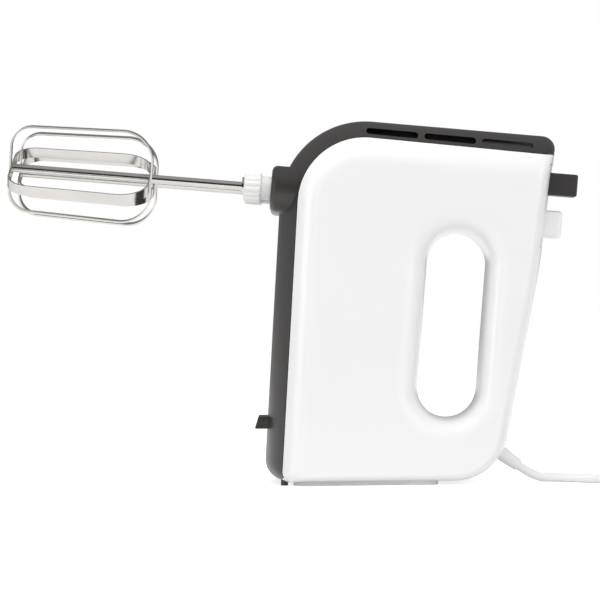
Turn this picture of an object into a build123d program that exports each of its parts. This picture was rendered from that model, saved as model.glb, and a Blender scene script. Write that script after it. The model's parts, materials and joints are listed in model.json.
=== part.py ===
from build123d import *
import math
import os

os.makedirs("parts", exist_ok=True)

# Hand mixer standing on its heel: +Z up, beaters towards -X, the two half shells meet at Y = 0.
# The origin is the centre of the heel pad's resting face. All sizes are millimetres and degrees.

# Stance and side outline
LEAN = 4.6
HEEL_Z = 2.2
UNDERSIDE_X = -56.5
UNDERSIDE_TILT = 3.19
TOP_Z = 202.25
TOP_TILT = 4.79
BACK_X = 98.0
BACK_Z = 121.5
BACK_TILT_UPPER = 7.55
BACK_TILT_LOWER = 10.45
HEEL_FRONT_RADIUS = 10.5
NOSE_RADIUS = 48.0
TAIL_RADIUS = 7.5
KNUCKLE_RADIUS = 250.0
HEEL_BACK_RADIUS = 30.0
LEAST_RADIUS = 4.0

# Width of the body and thickness of its wall
HALF_WIDTH_FRONT = 43.5
HALF_WIDTH_BACK = 20.0
WIDEST_X = -25.0
NARROW_X = 100.0
WALL = 2.5

# Crown of each side: share of the half width, then the inset from the underside, top, back and heel
CROWN = [
    (0.00, 0.0, 0.0, 0.0, 0.0),
    (0.42, 2.2, 2.6, 0.8, 0.0),
    (0.80, 10.0, 11.2, 3.0, 0.2),
    (0.93, 14.5, 16.5, 5.0, 1.2),
    (1.00, 22.0, 25.0, 8.0, 4.0),
]

# Grip opening, and how far its edge is dished back at each share of the half width
GRIP_TOP_X = 51.2
GRIP_TOP_Z = 122.1
GRIP_FOOT_X = 45.8
GRIP_FOOT_Z = 53.2
GRIP_RADIUS = 16.9
DISH = [(-0.05, 0.0), (0.55, 0.6), (0.85, 3.5), (1.00, 8.0), (1.10, 12.0)]

# Dark band between the shells
BAND_SHARE = 0.80
BAND_SEAM = 0.16
BAND_DEPTH = 18.0
BAND_DEPTH_TOP = 20.5
BAND_HEEL_X = -45.5
BAND_TAIL_Z = 182.6
LEDGE_TIP_X = -61.6
LEDGE_FOOT_Z = 30.3
LEDGE_TOP_Z = 37.0
LEDGE_SLANT = 2.0
LEDGE_HALF = 14.0
LEDGE_FACET = 1.9
LEDGE_EDGE = 0.6
NUB_X = -44.9
NUB_SIDE = 28.0
NUB_RADIUS = 2.0
VENT_FIRST_X = 14.5
VENT_PITCH = 32.2
VENT_LENGTH = 29.0
VENT_WIDTH = 3.9
VENT_DEPTH = 7.3
VENT_COUNT = 3
VENT_POCKET = 1.2
VENT_INNER_SIDE = 12.0

# Clearances: seated pieces, running fits, guided slides and pieces pressed by others
FIT = 0.02
RUN = 0.05
GUIDE = 0.30
TOUCH = 0.10

# Gear train: one worm between two wheels, with the beater axes across the head
GEAR_X = -6.0
GEAR_Z = 159.5
BEATER_SIDE = 22.0
GEAR_MODULE = 1.0
WHEEL_TEETH = 26
WORM_STARTS = 2
WHEEL_FACE = 9.0
WORM_LENGTH = 18.0
WORM_STEPS = 36
PRESSURE_ANGLE = 20.0
TOOTH_SLACK = 0.45
SPINDLE_RADIUS = 5.5
SPINDLE_FRONT = -41.5
SPINDLE_BACK = 19.0
ROD_RADIUS = 2.4
ROD_FLAT = 3.8
TAIL_LENGTH = 12.0
ROD_DEPTH = 33.0
BUSH_RADIUS = 7.0
BUSH_LENGTH = 7.0

# Collar round the two beater sockets
COLLAR_FACE = -46.5
COLLAR_HEIGHT = 25.6
COLLAR_ROOT = -28.0
COLLAR_EDGE = 3.0
SOCKET_RADIUS = 7.2

# Gear frame
PLATE = 4.0
FRAME_HALF = 33.0
FRAME_FRONT = -20.0
FRAME_BACK = 16.0
FRAME_FLOOR = -20.0
FRAME_SHOULDER = 12.0
FRAME_CROWN = 20.0
BRIDGE_HALF = 10.0
BRIDGE_THICK = 3.0

# Motor, measured down from the gear centre
SHAFT_RADIUS = 2.0
SHAFT_TOP = 22.5
SHAFT_BOTTOM = -112.0
BEARING_RADIUS = 5.0
FAN_TOP = -27.5
FAN_RADIUS = 20.0
FAN_HEIGHT = 8.0
FAN_BLADES = 11
STACK_TOP = -50.0
STACK_LENGTH = 30.0
ARMATURE_RADIUS = 15.0
AIR_GAP = 0.5
ARMATURE_SLOTS = 12
STATOR_DEPTH = 46.0
STATOR_WIDTH = 62.0
STATOR_CORNER = 5.0
WINDOW_INNER = 17.5
WINDOW_OUTER = 24.0
WINDOW_HALF = 13.0
COIL_RISE = 6.0
COIL_SLACK = 0.4
WINDING_RADIUS = 12.0
WINDING_HEIGHT = 7.0
COMMUTATOR_RADIUS = 9.0
COMMUTATOR_TOP = -89.0
COMMUTATOR_LENGTH = 12.0
PILLAR_RADIUS = 3.0
PILLAR_REAR = 19.0
PILLAR_SIDE = 27.5
BRACKET_TOP = -107.0
BRACKET_THICK = 5.0
BRUSH_SIDE = 5.0
BRUSH_LENGTH = 9.0
HOLDER_WALL = 1.5
HOLDER_END = 27.0
BRUSH_WIRE = 0.5
BRUSH_SPRING_TURNS = 5
FAN_PLATE = 1.2

# Eject parts and controls at the back, measured from the gear centre along the beater axes
EJECT_TRAVEL = 6.0
EJECT_PIN_RADIUS = 1.8
EJECT_HEAD_RADIUS = 4.5
EJECT_HEAD = 2.0
YOKE_BAR = 5.0
YOKE_HALF_HEIGHT = 4.0
YOKE_HALF_THICK = 2.5
YOKE_PAD_HALF = 6.0
YOKE_KNEE = 38.0
YOKE_SHOULDER = 72.0
SPRING_WIRE = 0.8
EJECT_SPRING_RADIUS = 4.0
EJECT_SPRING_TURNS = 4
KNOB_END = 123.3
KNOB_UP = 15.7
KNOB_HEIGHT = 12.3
KNOB_WIDTH = 11.0
KNOB_TAIL = 93.0
KNOB_EDGE = 1.3
KNOB_TRAVEL = 12.0
CARRIAGE_BACK = 100.0
CARRIAGE_WIDTH = 15.0
CARRIAGE_RIM = 1.2
RAIL_THICK = 1.6
BUTTON_END = 116.6
BUTTON_UP = -6.4
BUTTON_HEIGHT = 15.2
BUTTON_WIDTH = 16.0
BUTTON_TAIL = 98.0
BUTTON_EDGE = 2.0
BUTTON_SPRING_RADIUS = 3.0
BUTTON_SPRING_TURNS = 2
BUTTON_SPRING_LENGTH = 5.0
TURBO_SWITCH_LENGTH = 9.0
TURBO_SWITCH_HEIGHT = 12.0
TURBO_SWITCH_HALF = 6.0
SPEED_SWITCH_LENGTH = 8.5
SPEED_SWITCH_HALF = 8.0
SPEED_SWITCH_HEIGHT = 7.6
PANEL_SHARE = 0.80
PANEL_FRONT_X = 90.0
PANEL_FOOT_Z = 131.5
PANEL_TOP_Z = 177.0

# Beaters: flange, collar and cage, measured forward of the collar face
NECK_RADIUS = 6.5
NECK_INSERT = 4.5
NECK_SHOW = 5.6
RING_RADIUS = 8.8
PLAIN_RING_RADIUS = 7.6
RING_LENGTH = 9.3
RING_TEETH = 16
RING_TOOTH_DEPTH = 0.9
FLANGE_RADIUS = 5.0
FLANGE_THICK = 1.3
CAGE_START = -112.3
CAGE_LENGTH = 79.0
CAGE_TIP_HALF = 23.8
CAGE_SHOULDER_HALF = 26.2
CAGE_TIP_CORNER = 12.0
CAGE_SHOULDER_CORNER = 17.0
STRIP_WIDTH = 5.8
STRIP_THICK = 0.9
UPRIGHT_ROLL = {"front": 12.0, "rear": 16.0}
LEVEL_ROLL = 30.0
LEVEL_SLIP = {"front": 1.2, "rear": 0.0}

# Heel, fastenings and electrics
PAD_HALF_LENGTH = 40.0
PAD_SHARE = 0.74
PAD_CORNER = 6.0
SCREW_RADIUS = 1.5
SCREW_HEAD_RADIUS = 3.0
SCREW_HEAD = 2.2
SCREW_SEAT = 10.0
SCREW_REACH = 14.0
BOSS_RADIUS = 4.2
BOSS_PLACES = [(-31.0, 36.0), (34.0, 12.5), (81.0, 95.0), (21.0, 126.0)]
POST_RADIUS = 4.0
BOARD_FRONT_X = -34.0
BOARD_BACK_X = 20.0
BOARD_HALF = 22.0
BOARD_Z = 22.0
BOARD_THICK = 1.6
BOARD_POST_RADIUS = 3.0
BOARD_POST_INSET = 5.0
BOARD_POST_GRIP = 4.0
CAPACITOR_LENGTH = 24.0
CAPACITOR_WIDTH = 11.0
CAPACITOR_HEIGHT = 15.0
CAPACITOR_X = -8.0
TERMINAL_LENGTH = 9.0
TERMINAL_WIDTH = 14.0
TERMINAL_HEIGHT = 9.0
CLAMP_X = 46.0
CLAMP_LENGTH = 8.0
CLAMP_HALF = 9.0
CLAMP_RIM = 2.0
CLAMP_POST_GRIP = 3.0

# Cord: strain relief, route over the surface, coil, tie and plug
CORD_RADIUS = 2.5
GUARD_EXIT_X = 86.2
GUARD_EXIT_Z = 9.0
GUARD_TILT = 35.8
GUARD_LENGTH = 16.0
GUARD_ROOT_RADIUS = 4.4
GUARD_END_RADIUS = 3.3
GUARD_ANCHOR_RADIUS = 6.5
GUARD_ANCHOR = 5.0
GUARD_TAIL = 4.0
CORD_REST_Z = 2.6
CORD_ROUTE = [
    (106.0, -1.5, 2.6),
    (118.0, -6.5, 2.6),
    (131.0, -15.5, 2.6),
    (143.0, -24.0, 2.7),
    (153.0, -30.3, 3.1),
    (162.0, -33.0, 3.6),
]
COIL_X = 176.0
COIL_Y = -33.0
COIL_Z = 3.6
COIL_FIRST_RADIUS = 35.75
COIL_STEP = 2.75
COIL_HALF_TURNS = 6
COIL_RISE_STEP = 5.5
TAIL_ROUTE = [(190.0, -33.0, 9.1), (212.0, -26.0, 7.0)]
TIE_CLEAR = 0.3
TIE_THICK = 0.7
TIE_HALF_WIDTH = 4.0
TIE_BOW = 1.4
PLUG_X = 221.0
PLUG_Y = -26.0
PLUG_Z = 7.0
PLUG_LENGTH = 36.0
PLUG_WIDTH = 34.0
PLUG_NECK_WIDTH = 12.0
PLUG_THICK = 14.0
PLUG_FACE = 8.0
PLUG_EDGE = 1.5
PIN_RADIUS = 2.0
PIN_LENGTH = 19.0
PIN_SPACING = 18.6
PIN_SEAT = 6.0
PIN_ROOT_RADIUS = 1.6

# Sizes that follow from the ones above
TAPER = (HALF_WIDTH_FRONT - HALF_WIDTH_BACK) / (NARROW_X - WIDEST_X)
NEAR = -1
FAR = 1
SIDES = {"near": NEAR, "far": FAR}
BEATERS = {"front": -BEATER_SIDE, "rear": BEATER_SIDE}
REARWARD = Vector(math.cos(math.radians(LEAN)), 0, -math.sin(math.radians(LEAN)))
UPWARD = Vector(math.sin(math.radians(LEAN)), 0, math.cos(math.radians(LEAN)))
FARWARD = Vector(0, 1, 0)
GEAR_CENTRE = Vector(GEAR_X, 0, GEAR_Z)
WHEEL_PITCH_RADIUS = GEAR_MODULE * WHEEL_TEETH / 2
WORM_PITCH_RADIUS = BEATER_SIDE - WHEEL_PITCH_RADIUS
WORM_LEAD = math.pi * GEAR_MODULE * WORM_STARTS
ROD_END = SPINDLE_FRONT + ROD_DEPTH
STACK_BOTTOM = STACK_TOP - STACK_LENGTH
EJECT_HEAD_FRONT = SPINDLE_BACK + EJECT_TRAVEL + GUIDE
YOKE_FRONT = EJECT_HEAD_FRONT + EJECT_HEAD + TOUCH
YOKE_END = KNOB_TAIL - TOUCH
KNOB_REST_Y = -KNOB_TRAVEL / 2
RING_FRONT = COLLAR_FACE - NECK_SHOW - RING_LENGTH
FLANGE_FRONT = RING_FRONT - FLANGE_THICK
CAGE_TIP = CAGE_START - CAGE_LENGTH
BRUSH_LEVEL = COMMUTATOR_TOP - COMMUTATOR_LENGTH / 2
HOLDER_HALF = BRUSH_SIDE / 2 + HOLDER_WALL
BOUND = 400.0


def save(piece, name):
    """Label one finished piece and write it under its own name."""
    piece.part.label = name
    export_step(piece.part, f"parts/{name}.step")


def head_point(rear, side, up):
    """Point measured from the gear centre along the beater axes, across, and up the motor."""
    return GEAR_CENTRE + REARWARD * rear + FARWARD * side + UPWARD * up


def axis_plane(rear, side=0.0, up=0.0):
    """Plane square to the beater axes: local x is across to the far side, y is up, z is rearward."""
    return Plane(origin=head_point(rear, side, up), x_dir=FARWARD, z_dir=REARWARD)


def motor_plane(up):
    """Plane square to the motor shaft: local x is rearward, y is across to the far side, z is up."""
    return Plane(origin=head_point(0, 0, up), x_dir=REARWARD, z_dir=UPWARD)


def half_width(x, wall=0.0):
    """Half width of the body at x, less a wall."""
    return HALF_WIDTH_FRONT - wall - TAPER * (x - WIDEST_X)


def crown_plane(side, share, wall=0.0):
    """Upright plane at a share of the half width, which tapers towards the back, and its stretch along x."""
    slope = -side * share * TAPER
    stretch = math.hypot(1.0, slope)
    origin = (0, side * share * half_width(0, wall), 0)
    plane = Plane(origin=origin, x_dir=(1, slope, 0), z_dir=(slope, -1, 0))
    return plane, stretch


def crossing(first, second):
    """Point where two lines of the side outline meet, each given as a point and a direction."""
    (px, pz), (ax, az) = first
    (qx, qz), (bx, bz) = second
    along = ((qx - px) * bz - (qz - pz) * bx) / (ax * bz - az * bx)
    return px + ax * along, pz + az * along


def inset_line(x, z, angle, inset):
    """Line of the outline moved inwards: the outline runs anticlockwise, so inwards is to its left."""
    dx = math.cos(math.radians(angle))
    dz = math.sin(math.radians(angle))
    return (x - dz * inset, z + dx * inset), (dx, dz)


def outline(underside, top, back, heel):
    """Corners and radii of the side outline with each side moved inwards by its own inset."""
    lines = [
        inset_line(0, HEEL_Z, 0, heel),
        inset_line(BACK_X, BACK_Z, 90 - BACK_TILT_LOWER, back),
        inset_line(BACK_X, BACK_Z, 90 - BACK_TILT_UPPER, back),
        inset_line(0, TOP_Z, 180 - TOP_TILT, top),
        inset_line(UNDERSIDE_X, 0, -90 - UNDERSIDE_TILT, underside),
    ]
    corners = [crossing(lines[i], lines[(i + 1) % len(lines)]) for i in range(len(lines))]
    full = [
        (HEEL_BACK_RADIUS, heel, back),
        (KNUCKLE_RADIUS, back, back),
        (TAIL_RADIUS, back, top),
        (NOSE_RADIUS, top, underside),
        (HEEL_FRONT_RADIUS, underside, heel),
    ]
    radii = [max(radius - (one + two) / 2, LEAST_RADIUS) for radius, one, two in full]
    return corners, radii


def half_body(side, wall):
    """One side of the body, crowned and cut by the dished grip opening, with its skin moved in by a wall."""
    grip_angle = math.degrees(math.atan2(GRIP_TOP_Z - GRIP_FOOT_Z, GRIP_TOP_X - GRIP_FOOT_X))
    grip_length = math.hypot(GRIP_TOP_Z - GRIP_FOOT_Z, GRIP_TOP_X - GRIP_FOOT_X)
    grip_x = (GRIP_TOP_X + GRIP_FOOT_X) / 2
    grip_z = (GRIP_TOP_Z + GRIP_FOOT_Z) / 2
    with BuildPart() as half:
        for share, underside, top, back, heel in CROWN:
            plane, stretch = crown_plane(side, share, wall)
            corners, radii = outline(underside + wall, top + wall, back + wall, heel + wall)
            with BuildSketch(plane):
                with BuildLine():
                    FilletPolyline([(x * stretch, z) for x, z in corners], radius=radii, close=True)
                make_face()
        loft(ruled=True)
        for share, dish in DISH:
            plane, stretch = crown_plane(side, share, wall)
            with BuildSketch(plane):
                with Locations((grip_x * stretch, grip_z)):
                    SlotCenterToCenter(grip_length, 2 * (GRIP_RADIUS + dish + wall), rotation=grip_angle)
        loft(ruled=True, mode=Mode.SUBTRACT)
    return half.part


def wedge(share, seam=0.0):
    """Space between the two planes at a share of the half width, for the whole body."""
    front = share * half_width(-BOUND / 4) + seam
    back = share * half_width(BOUND / 3) + seam
    plan = [(-BOUND / 4, -front), (BOUND / 3, -back), (BOUND / 3, back), (-BOUND / 4, front)]
    with BuildPart() as space:
        with BuildSketch(Plane.XY.offset(-BOUND / 4)):
            with BuildLine():
                Polyline(plan, close=True)
            make_face()
        extrude(amount=BOUND)
    return space.part


def band_zone(seam=0.0):
    """Space that the band takes: round the underside, nose and top, from the heel to the tail."""
    corners, radii = outline(BAND_DEPTH, BAND_DEPTH_TOP, BAND_DEPTH, BAND_DEPTH)
    with BuildPart() as zone:
        with BuildSketch(Plane.XZ):
            Rectangle(BOUND, 2 * BOUND)
            with BuildLine():
                FilletPolyline(corners, radius=radii, close=True)
            make_face(mode=Mode.SUBTRACT)
            with Locations((BAND_HEEL_X + seam, BAND_TAIL_Z - seam)):
                Rectangle(BOUND, BOUND, align=(Align.MIN, Align.MAX), mode=Mode.SUBTRACT)
        extrude(amount=BOUND / 4, both=True)
        with BuildSketch(Plane.XZ):
            with Locations((BAND_HEEL_X, BAND_TAIL_Z)):
                Rectangle(NOSE_RADIUS, BAND_TAIL_Z - HEEL_FRONT_RADIUS, align=(Align.MIN, Align.MAX))
        extrude(amount=BOUND / 4, both=True)
        with BuildSketch(Plane.XZ):
            with BuildLine():
                FilletPolyline(corners, radius=radii, close=True)
            make_face()
        extrude(amount=BOUND / 4, both=True, mode=Mode.SUBTRACT)
        add(wedge(BAND_SHARE, seam), mode=Mode.INTERSECT)
    return zone.part


def panel_zone(seam=0.0):
    """Space that the control panel takes at the back of the head."""
    with BuildPart() as zone:
        with BuildSketch(Plane.XZ):
            with Locations((PANEL_FRONT_X, PANEL_FOOT_Z - seam)):
                height = PANEL_TOP_Z - PANEL_FOOT_Z + 2 * seam
                Rectangle(BOUND, height, align=(Align.MIN, Align.MIN))
        extrude(amount=BOUND / 4, both=True)
        add(wedge(PANEL_SHARE, seam), mode=Mode.INTERSECT)
    return zone.part


outer = {side: half_body(side, 0.0) for side in SIDES.values()}
inner = {side: half_body(side, WALL) for side in SIDES.values()}

# Strain relief axis, measured back up the cord from its end
GUARD_AXIS = Vector(-math.cos(math.radians(GUARD_TILT)), 0, math.sin(math.radians(GUARD_TILT)))
GUARD_EXIT = Vector(GUARD_EXIT_X, 0, GUARD_EXIT_Z)


def guard_plane(back):
    """Plane square to the strain relief, a distance back from its end."""
    return Plane(origin=GUARD_EXIT + GUARD_AXIS * back, x_dir=FARWARD, z_dir=GUARD_AXIS)


# Places where the shells carry the pieces inside: point in the side plane, radius and how near the middle
frame_posts = [
    (head_point(FRAME_FRONT + PLATE / 2, 0, FRAME_FLOOR + POST_RADIUS + GUIDE), POST_RADIUS, FRAME_HALF),
    (head_point(FRAME_BACK - PLATE / 2, 0, FRAME_FLOOR + POST_RADIUS + GUIDE), POST_RADIUS, FRAME_HALF),
]
board_posts = [
    (Vector(x, 0, BOARD_Z - BOARD_POST_RADIUS), BOARD_POST_RADIUS, BOARD_HALF - BOARD_POST_GRIP)
    for x in (BOARD_FRONT_X + BOARD_POST_INSET, BOARD_BACK_X - BOARD_POST_INSET)
]
LEAD_Z = BOARD_Z + BOARD_THICK + TERMINAL_HEIGHT / 2
clamp_post = (
    Vector(CLAMP_X, 0, LEAD_Z - CORD_RADIUS - CLAMP_RIM - BOARD_POST_RADIUS),
    BOARD_POST_RADIUS,
    CLAMP_HALF - CLAMP_POST_GRIP,
)
TURBO_BACK = BUTTON_TAIL - BUTTON_SPRING_LENGTH
turbo_post = (
    head_point(TURBO_BACK - TURBO_SWITCH_LENGTH / 2, 0, BUTTON_UP),
    BOARD_POST_RADIUS,
    TURBO_SWITCH_HALF,
)
SPEED_BACK = KNOB_TAIL - GUIDE
SPEED_UP = KNOB_UP - KNOB_HEIGHT / 2 - GUIDE - SPEED_SWITCH_HEIGHT / 2
speed_post = (
    head_point(SPEED_BACK - SPEED_SWITCH_LENGTH / 2, 0, SPEED_UP),
    SPEED_SWITCH_HEIGHT / 3,
    SPEED_SWITCH_HALF,
)

# Half shells: white, with screw bosses and posts inside, open where the band and the panel fit
for name, side in SIDES.items():
    posts = frame_posts + board_posts + [clamp_post, turbo_post, speed_post]
    with BuildPart() as cavity:
        add(inner[side])
        for x, z in BOSS_PLACES:
            with BuildSketch(Plane.XZ):
                with Locations((x, z)):
                    Circle(BOSS_RADIUS)
            extrude(amount=-side * BOUND / 4, mode=Mode.SUBTRACT)
        for place, radius, reach in posts:
            with BuildSketch(Plane.XZ.offset(-side * (reach + FIT))):
                with Locations((place.X, place.Z)):
                    Circle(radius)
            extrude(amount=-side * BOUND / 4, mode=Mode.SUBTRACT)
    with BuildPart() as shell:
        add(outer[side])
        add(cavity.part, mode=Mode.SUBTRACT)
        add(band_zone(BAND_SEAM), mode=Mode.SUBTRACT)
        add(panel_zone(BAND_SEAM), mode=Mode.SUBTRACT)
        for x, z in BOSS_PLACES:
            with BuildSketch(Plane.XZ):
                with Locations((x, z)):
                    Circle(SCREW_RADIUS + FIT)
            extrude(amount=-side * (SCREW_REACH + SCREW_HEAD), mode=Mode.SUBTRACT)
            if side == FAR:
                with BuildSketch(Plane.XZ.offset(-SCREW_SEAT)):
                    with Locations((x, z)):
                        Circle(SCREW_HEAD_RADIUS + GUIDE)
                extrude(amount=-BOUND / 4, mode=Mode.SUBTRACT)
        with BuildSketch(guard_plane(0)):
            Circle(GUARD_ROOT_RADIUS + FIT)
        extrude(amount=GUARD_LENGTH + GUARD_ANCHOR + GUARD_TAIL, mode=Mode.SUBTRACT)
    save(shell, f"housing_{name}")

# Dark band: one moulding round the underside, the nose and the top, with the vents
vent_slope = math.tan(math.radians(TOP_TILT))
vents = [
    (x, TOP_Z - vent_slope * x - VENT_DEPTH)
    for x in [VENT_FIRST_X + i * VENT_PITCH for i in range(VENT_COUNT)]
]
vent_pockets = {}
for side in SIDES.values():
    with BuildPart() as pocket:
        with BuildSketch(Plane.XZ.offset(-side * VENT_INNER_SIDE)):
            with Locations(vents[-1]):
                SlotOverall(VENT_LENGTH, VENT_WIDTH, rotation=-TOP_TILT)
        extrude(amount=-side * BOUND / 4)
        add(half_body(side, VENT_POCKET), mode=Mode.SUBTRACT)
    vent_pockets[side] = pocket.part
with BuildPart() as front_band:
    add(outer[NEAR])
    add(outer[FAR])
    add(band_zone(), mode=Mode.INTERSECT)
    add(inner[NEAR], mode=Mode.SUBTRACT)
    add(inner[FAR], mode=Mode.SUBTRACT)
    with BuildSketch(axis_plane(COLLAR_FACE)):
        with Locations(*[(side, 0) for side in BEATERS.values()]):
            Circle(SOCKET_RADIUS)
    extrude(amount=COLLAR_ROOT - COLLAR_FACE, mode=Mode.SUBTRACT)
    for side in SIDES.values():
        with BuildSketch(Plane.XZ.offset(-side * VENT_INNER_SIDE)):
            with Locations(*vents[:-1]):
                SlotOverall(VENT_LENGTH, VENT_WIDTH, rotation=-TOP_TILT)
        extrude(amount=-side * BOUND / 4, mode=Mode.SUBTRACT)
        add(vent_pockets[side], mode=Mode.SUBTRACT)
save(front_band, "front_band")

# Collar: dark boss on the nose round the two beater sockets
with BuildPart() as socket_collar:
    with BuildSketch(axis_plane(COLLAR_FACE)):
        SlotCenterToCenter(2 * BEATER_SIDE, COLLAR_HEIGHT)
    extrude(amount=COLLAR_ROOT - COLLAR_FACE)
    fillet(socket_collar.faces().sort_by(Axis(GEAR_CENTRE, REARWARD))[0].edges(), COLLAR_EDGE)
    with BuildSketch(axis_plane(COLLAR_FACE)):
        with Locations(*[(side, 0) for side in BEATERS.values()]):
            Circle(SOCKET_RADIUS)
    extrude(amount=COLLAR_ROOT - COLLAR_FACE, mode=Mode.SUBTRACT)
    add(outer[NEAR], mode=Mode.SUBTRACT)
    add(outer[FAR], mode=Mode.SUBTRACT)
save(socket_collar, "socket_collar")

# Ledge bar across the underside, that keeps the mixer on a bowl's rim
with BuildPart() as ledge_bar:
    with BuildSketch(Plane.XZ):
        with BuildLine():
            ledge_foot = [(LEDGE_TIP_X, LEDGE_FOOT_Z), (BAND_HEEL_X, LEDGE_FOOT_Z)]
            ledge_top = [(BAND_HEEL_X, LEDGE_TOP_Z), (LEDGE_TIP_X + LEDGE_SLANT, LEDGE_TOP_Z)]
            Polyline(ledge_foot + ledge_top, close=True)
        make_face()
    extrude(amount=LEDGE_HALF, both=True)
    chamfer(ledge_bar.faces().sort_by(Axis.Z)[-1].edges().filter_by(Axis.X), LEDGE_FACET)
    fillet(ledge_bar.faces().sort_by(Axis.X)[0].edges(), LEDGE_EDGE)
    add(outer[NEAR], mode=Mode.SUBTRACT)
    add(outer[FAR], mode=Mode.SUBTRACT)
save(ledge_bar, "ledge_bar")

# Heel nubs at the front corner of the foot
with BuildPart() as heel_nubs:
    with Locations((NUB_X, -NUB_SIDE, 0), (NUB_X, NUB_SIDE, 0)):
        Cylinder(NUB_RADIUS, HEEL_FRONT_RADIUS, align=(Align.CENTER, Align.CENTER, Align.MIN))
    add(outer[NEAR], mode=Mode.SUBTRACT)
    add(outer[FAR], mode=Mode.SUBTRACT)
save(heel_nubs, "heel_nubs")

# Heel pad: the flat foot that the mixer stands on
with BuildPart() as heel_pad:
    with BuildSketch():
        with BuildLine():
            pad_front = PAD_SHARE * half_width(-PAD_HALF_LENGTH)
            pad_back = PAD_SHARE * half_width(PAD_HALF_LENGTH)
            near_corners = [(-PAD_HALF_LENGTH, -pad_front), (PAD_HALF_LENGTH, -pad_back)]
            far_corners = [(PAD_HALF_LENGTH, pad_back), (-PAD_HALF_LENGTH, pad_front)]
            FilletPolyline(near_corners + far_corners, radius=PAD_CORNER, close=True)
        make_face()
    extrude(amount=HEEL_Z)
save(heel_pad, "heel_pad")

# Control panel: white strip with the knob's slot, the button's hole and the rails of the slide
rail_up = KNOB_HEIGHT / 2 + CARRIAGE_RIM + GUIDE
with BuildPart() as panel_cavity:
    add(inner[NEAR])
    add(inner[FAR])
    with BuildSketch(axis_plane(KNOB_TAIL, 0, KNOB_UP)):
        with Locations((0, rail_up)):
            Rectangle(BOUND / 4, RAIL_THICK, align=(Align.CENTER, Align.MIN))
        with Locations((0, -rail_up)):
            Rectangle(BOUND / 4, RAIL_THICK, align=(Align.CENTER, Align.MAX))
    extrude(amount=BOUND / 4, mode=Mode.SUBTRACT)
with BuildPart() as control_panel:
    add(outer[NEAR])
    add(outer[FAR])
    add(panel_zone(), mode=Mode.INTERSECT)
    add(panel_cavity.part, mode=Mode.SUBTRACT)
    with BuildSketch(axis_plane(KNOB_TAIL, 0, KNOB_UP)):
        Rectangle(KNOB_WIDTH + KNOB_TRAVEL + 2 * GUIDE, KNOB_HEIGHT + 2 * GUIDE)
    extrude(amount=BOUND / 4, mode=Mode.SUBTRACT)
    with BuildSketch(axis_plane(KNOB_TAIL, 0, BUTTON_UP)):
        RectangleRounded(BUTTON_WIDTH + 2 * GUIDE, BUTTON_HEIGHT + 2 * GUIDE, BUTTON_EDGE + GUIDE)
    extrude(amount=BOUND / 4, mode=Mode.SUBTRACT)
save(control_panel, "control_panel")

# Screws that draw the shells together, driven from the far side
with BuildPart() as housing_screws:
    for x, z in BOSS_PLACES:
        with BuildSketch(Plane.XZ.offset(SCREW_REACH)):
            with Locations((x, z)):
                Circle(SCREW_RADIUS)
        extrude(amount=-SCREW_REACH - SCREW_SEAT)
        with BuildSketch(Plane.XZ.offset(-SCREW_SEAT)):
            with Locations((x, z)):
                Circle(SCREW_HEAD_RADIUS)
        extrude(amount=-SCREW_HEAD)
save(housing_screws, "housing_screws")

# Gear frame: two plates across the beater axes, a floor, a bridge and four pillars down to the stator
pillars = [(rear, side) for rear in (-PILLAR_REAR, PILLAR_REAR) for side in (-PILLAR_SIDE, PILLAR_SIDE)]
floor_base = FRAME_FLOOR - PLATE
with BuildPart() as gear_frame:
    for rear in (FRAME_FRONT, FRAME_BACK - PLATE):
        with BuildSketch(axis_plane(rear)):
            with Locations((0, floor_base)):
                plate_height = FRAME_SHOULDER - floor_base
                Rectangle(2 * FRAME_HALF, plate_height, align=(Align.CENTER, Align.MIN))
                bridge_height = FRAME_CROWN + BRIDGE_THICK - floor_base
                Rectangle(2 * BRIDGE_HALF, bridge_height, align=(Align.CENTER, Align.MIN))
            with Locations(*[(side, 0) for side in BEATERS.values()]):
                Circle(BUSH_RADIUS + FIT, mode=Mode.SUBTRACT)
        extrude(amount=PLATE)
    with BuildSketch(motor_plane(floor_base)):
        Rectangle(2 * (PILLAR_REAR + PILLAR_RADIUS), 2 * (PILLAR_SIDE + PILLAR_RADIUS))
    extrude(amount=PLATE)
    with BuildSketch(motor_plane(FRAME_CROWN)):
        with Locations((FRAME_FRONT, 0)):
            Rectangle(FRAME_BACK - FRAME_FRONT, 2 * BRIDGE_HALF, align=(Align.MIN, Align.CENTER))
    extrude(amount=BRIDGE_THICK)
    with BuildSketch(motor_plane(STACK_TOP)):
        with Locations(*pillars):
            Circle(PILLAR_RADIUS)
    extrude(amount=floor_base - STACK_TOP)
    with BuildSketch(motor_plane(floor_base)):
        Circle(BEARING_RADIUS + FIT)
    extrude(amount=FRAME_CROWN + BRIDGE_THICK - floor_base, mode=Mode.SUBTRACT)
save(gear_frame, "gear_frame")

# Plain bearings of the two beater spindles
with BuildPart() as spindle_bushes:
    for side in BEATERS.values():
        for middle in (FRAME_FRONT + PLATE / 2, FRAME_BACK - PLATE / 2):
            with BuildSketch(axis_plane(middle - BUSH_LENGTH / 2, side)):
                Circle(BUSH_RADIUS)
                Circle(SPINDLE_RADIUS + RUN, mode=Mode.SUBTRACT)
            extrude(amount=BUSH_LENGTH)
save(spindle_bushes, "spindle_bushes")

# Plain bearings of the motor shaft: in the bridge, in the frame's floor and in the rear bracket
bracket_base = BRACKET_TOP - BRACKET_THICK
with BuildPart() as motor_bearings:
    for base, length in (
        (FRAME_CROWN, BRIDGE_THICK),
        (floor_base, PLATE),
        (bracket_base, BRACKET_THICK),
    ):
        with BuildSketch(motor_plane(base)):
            Circle(BEARING_RADIUS)
            Circle(SHAFT_RADIUS + RUN, mode=Mode.SUBTRACT)
        extrude(amount=length)
save(motor_bearings, "motor_bearings")

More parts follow.
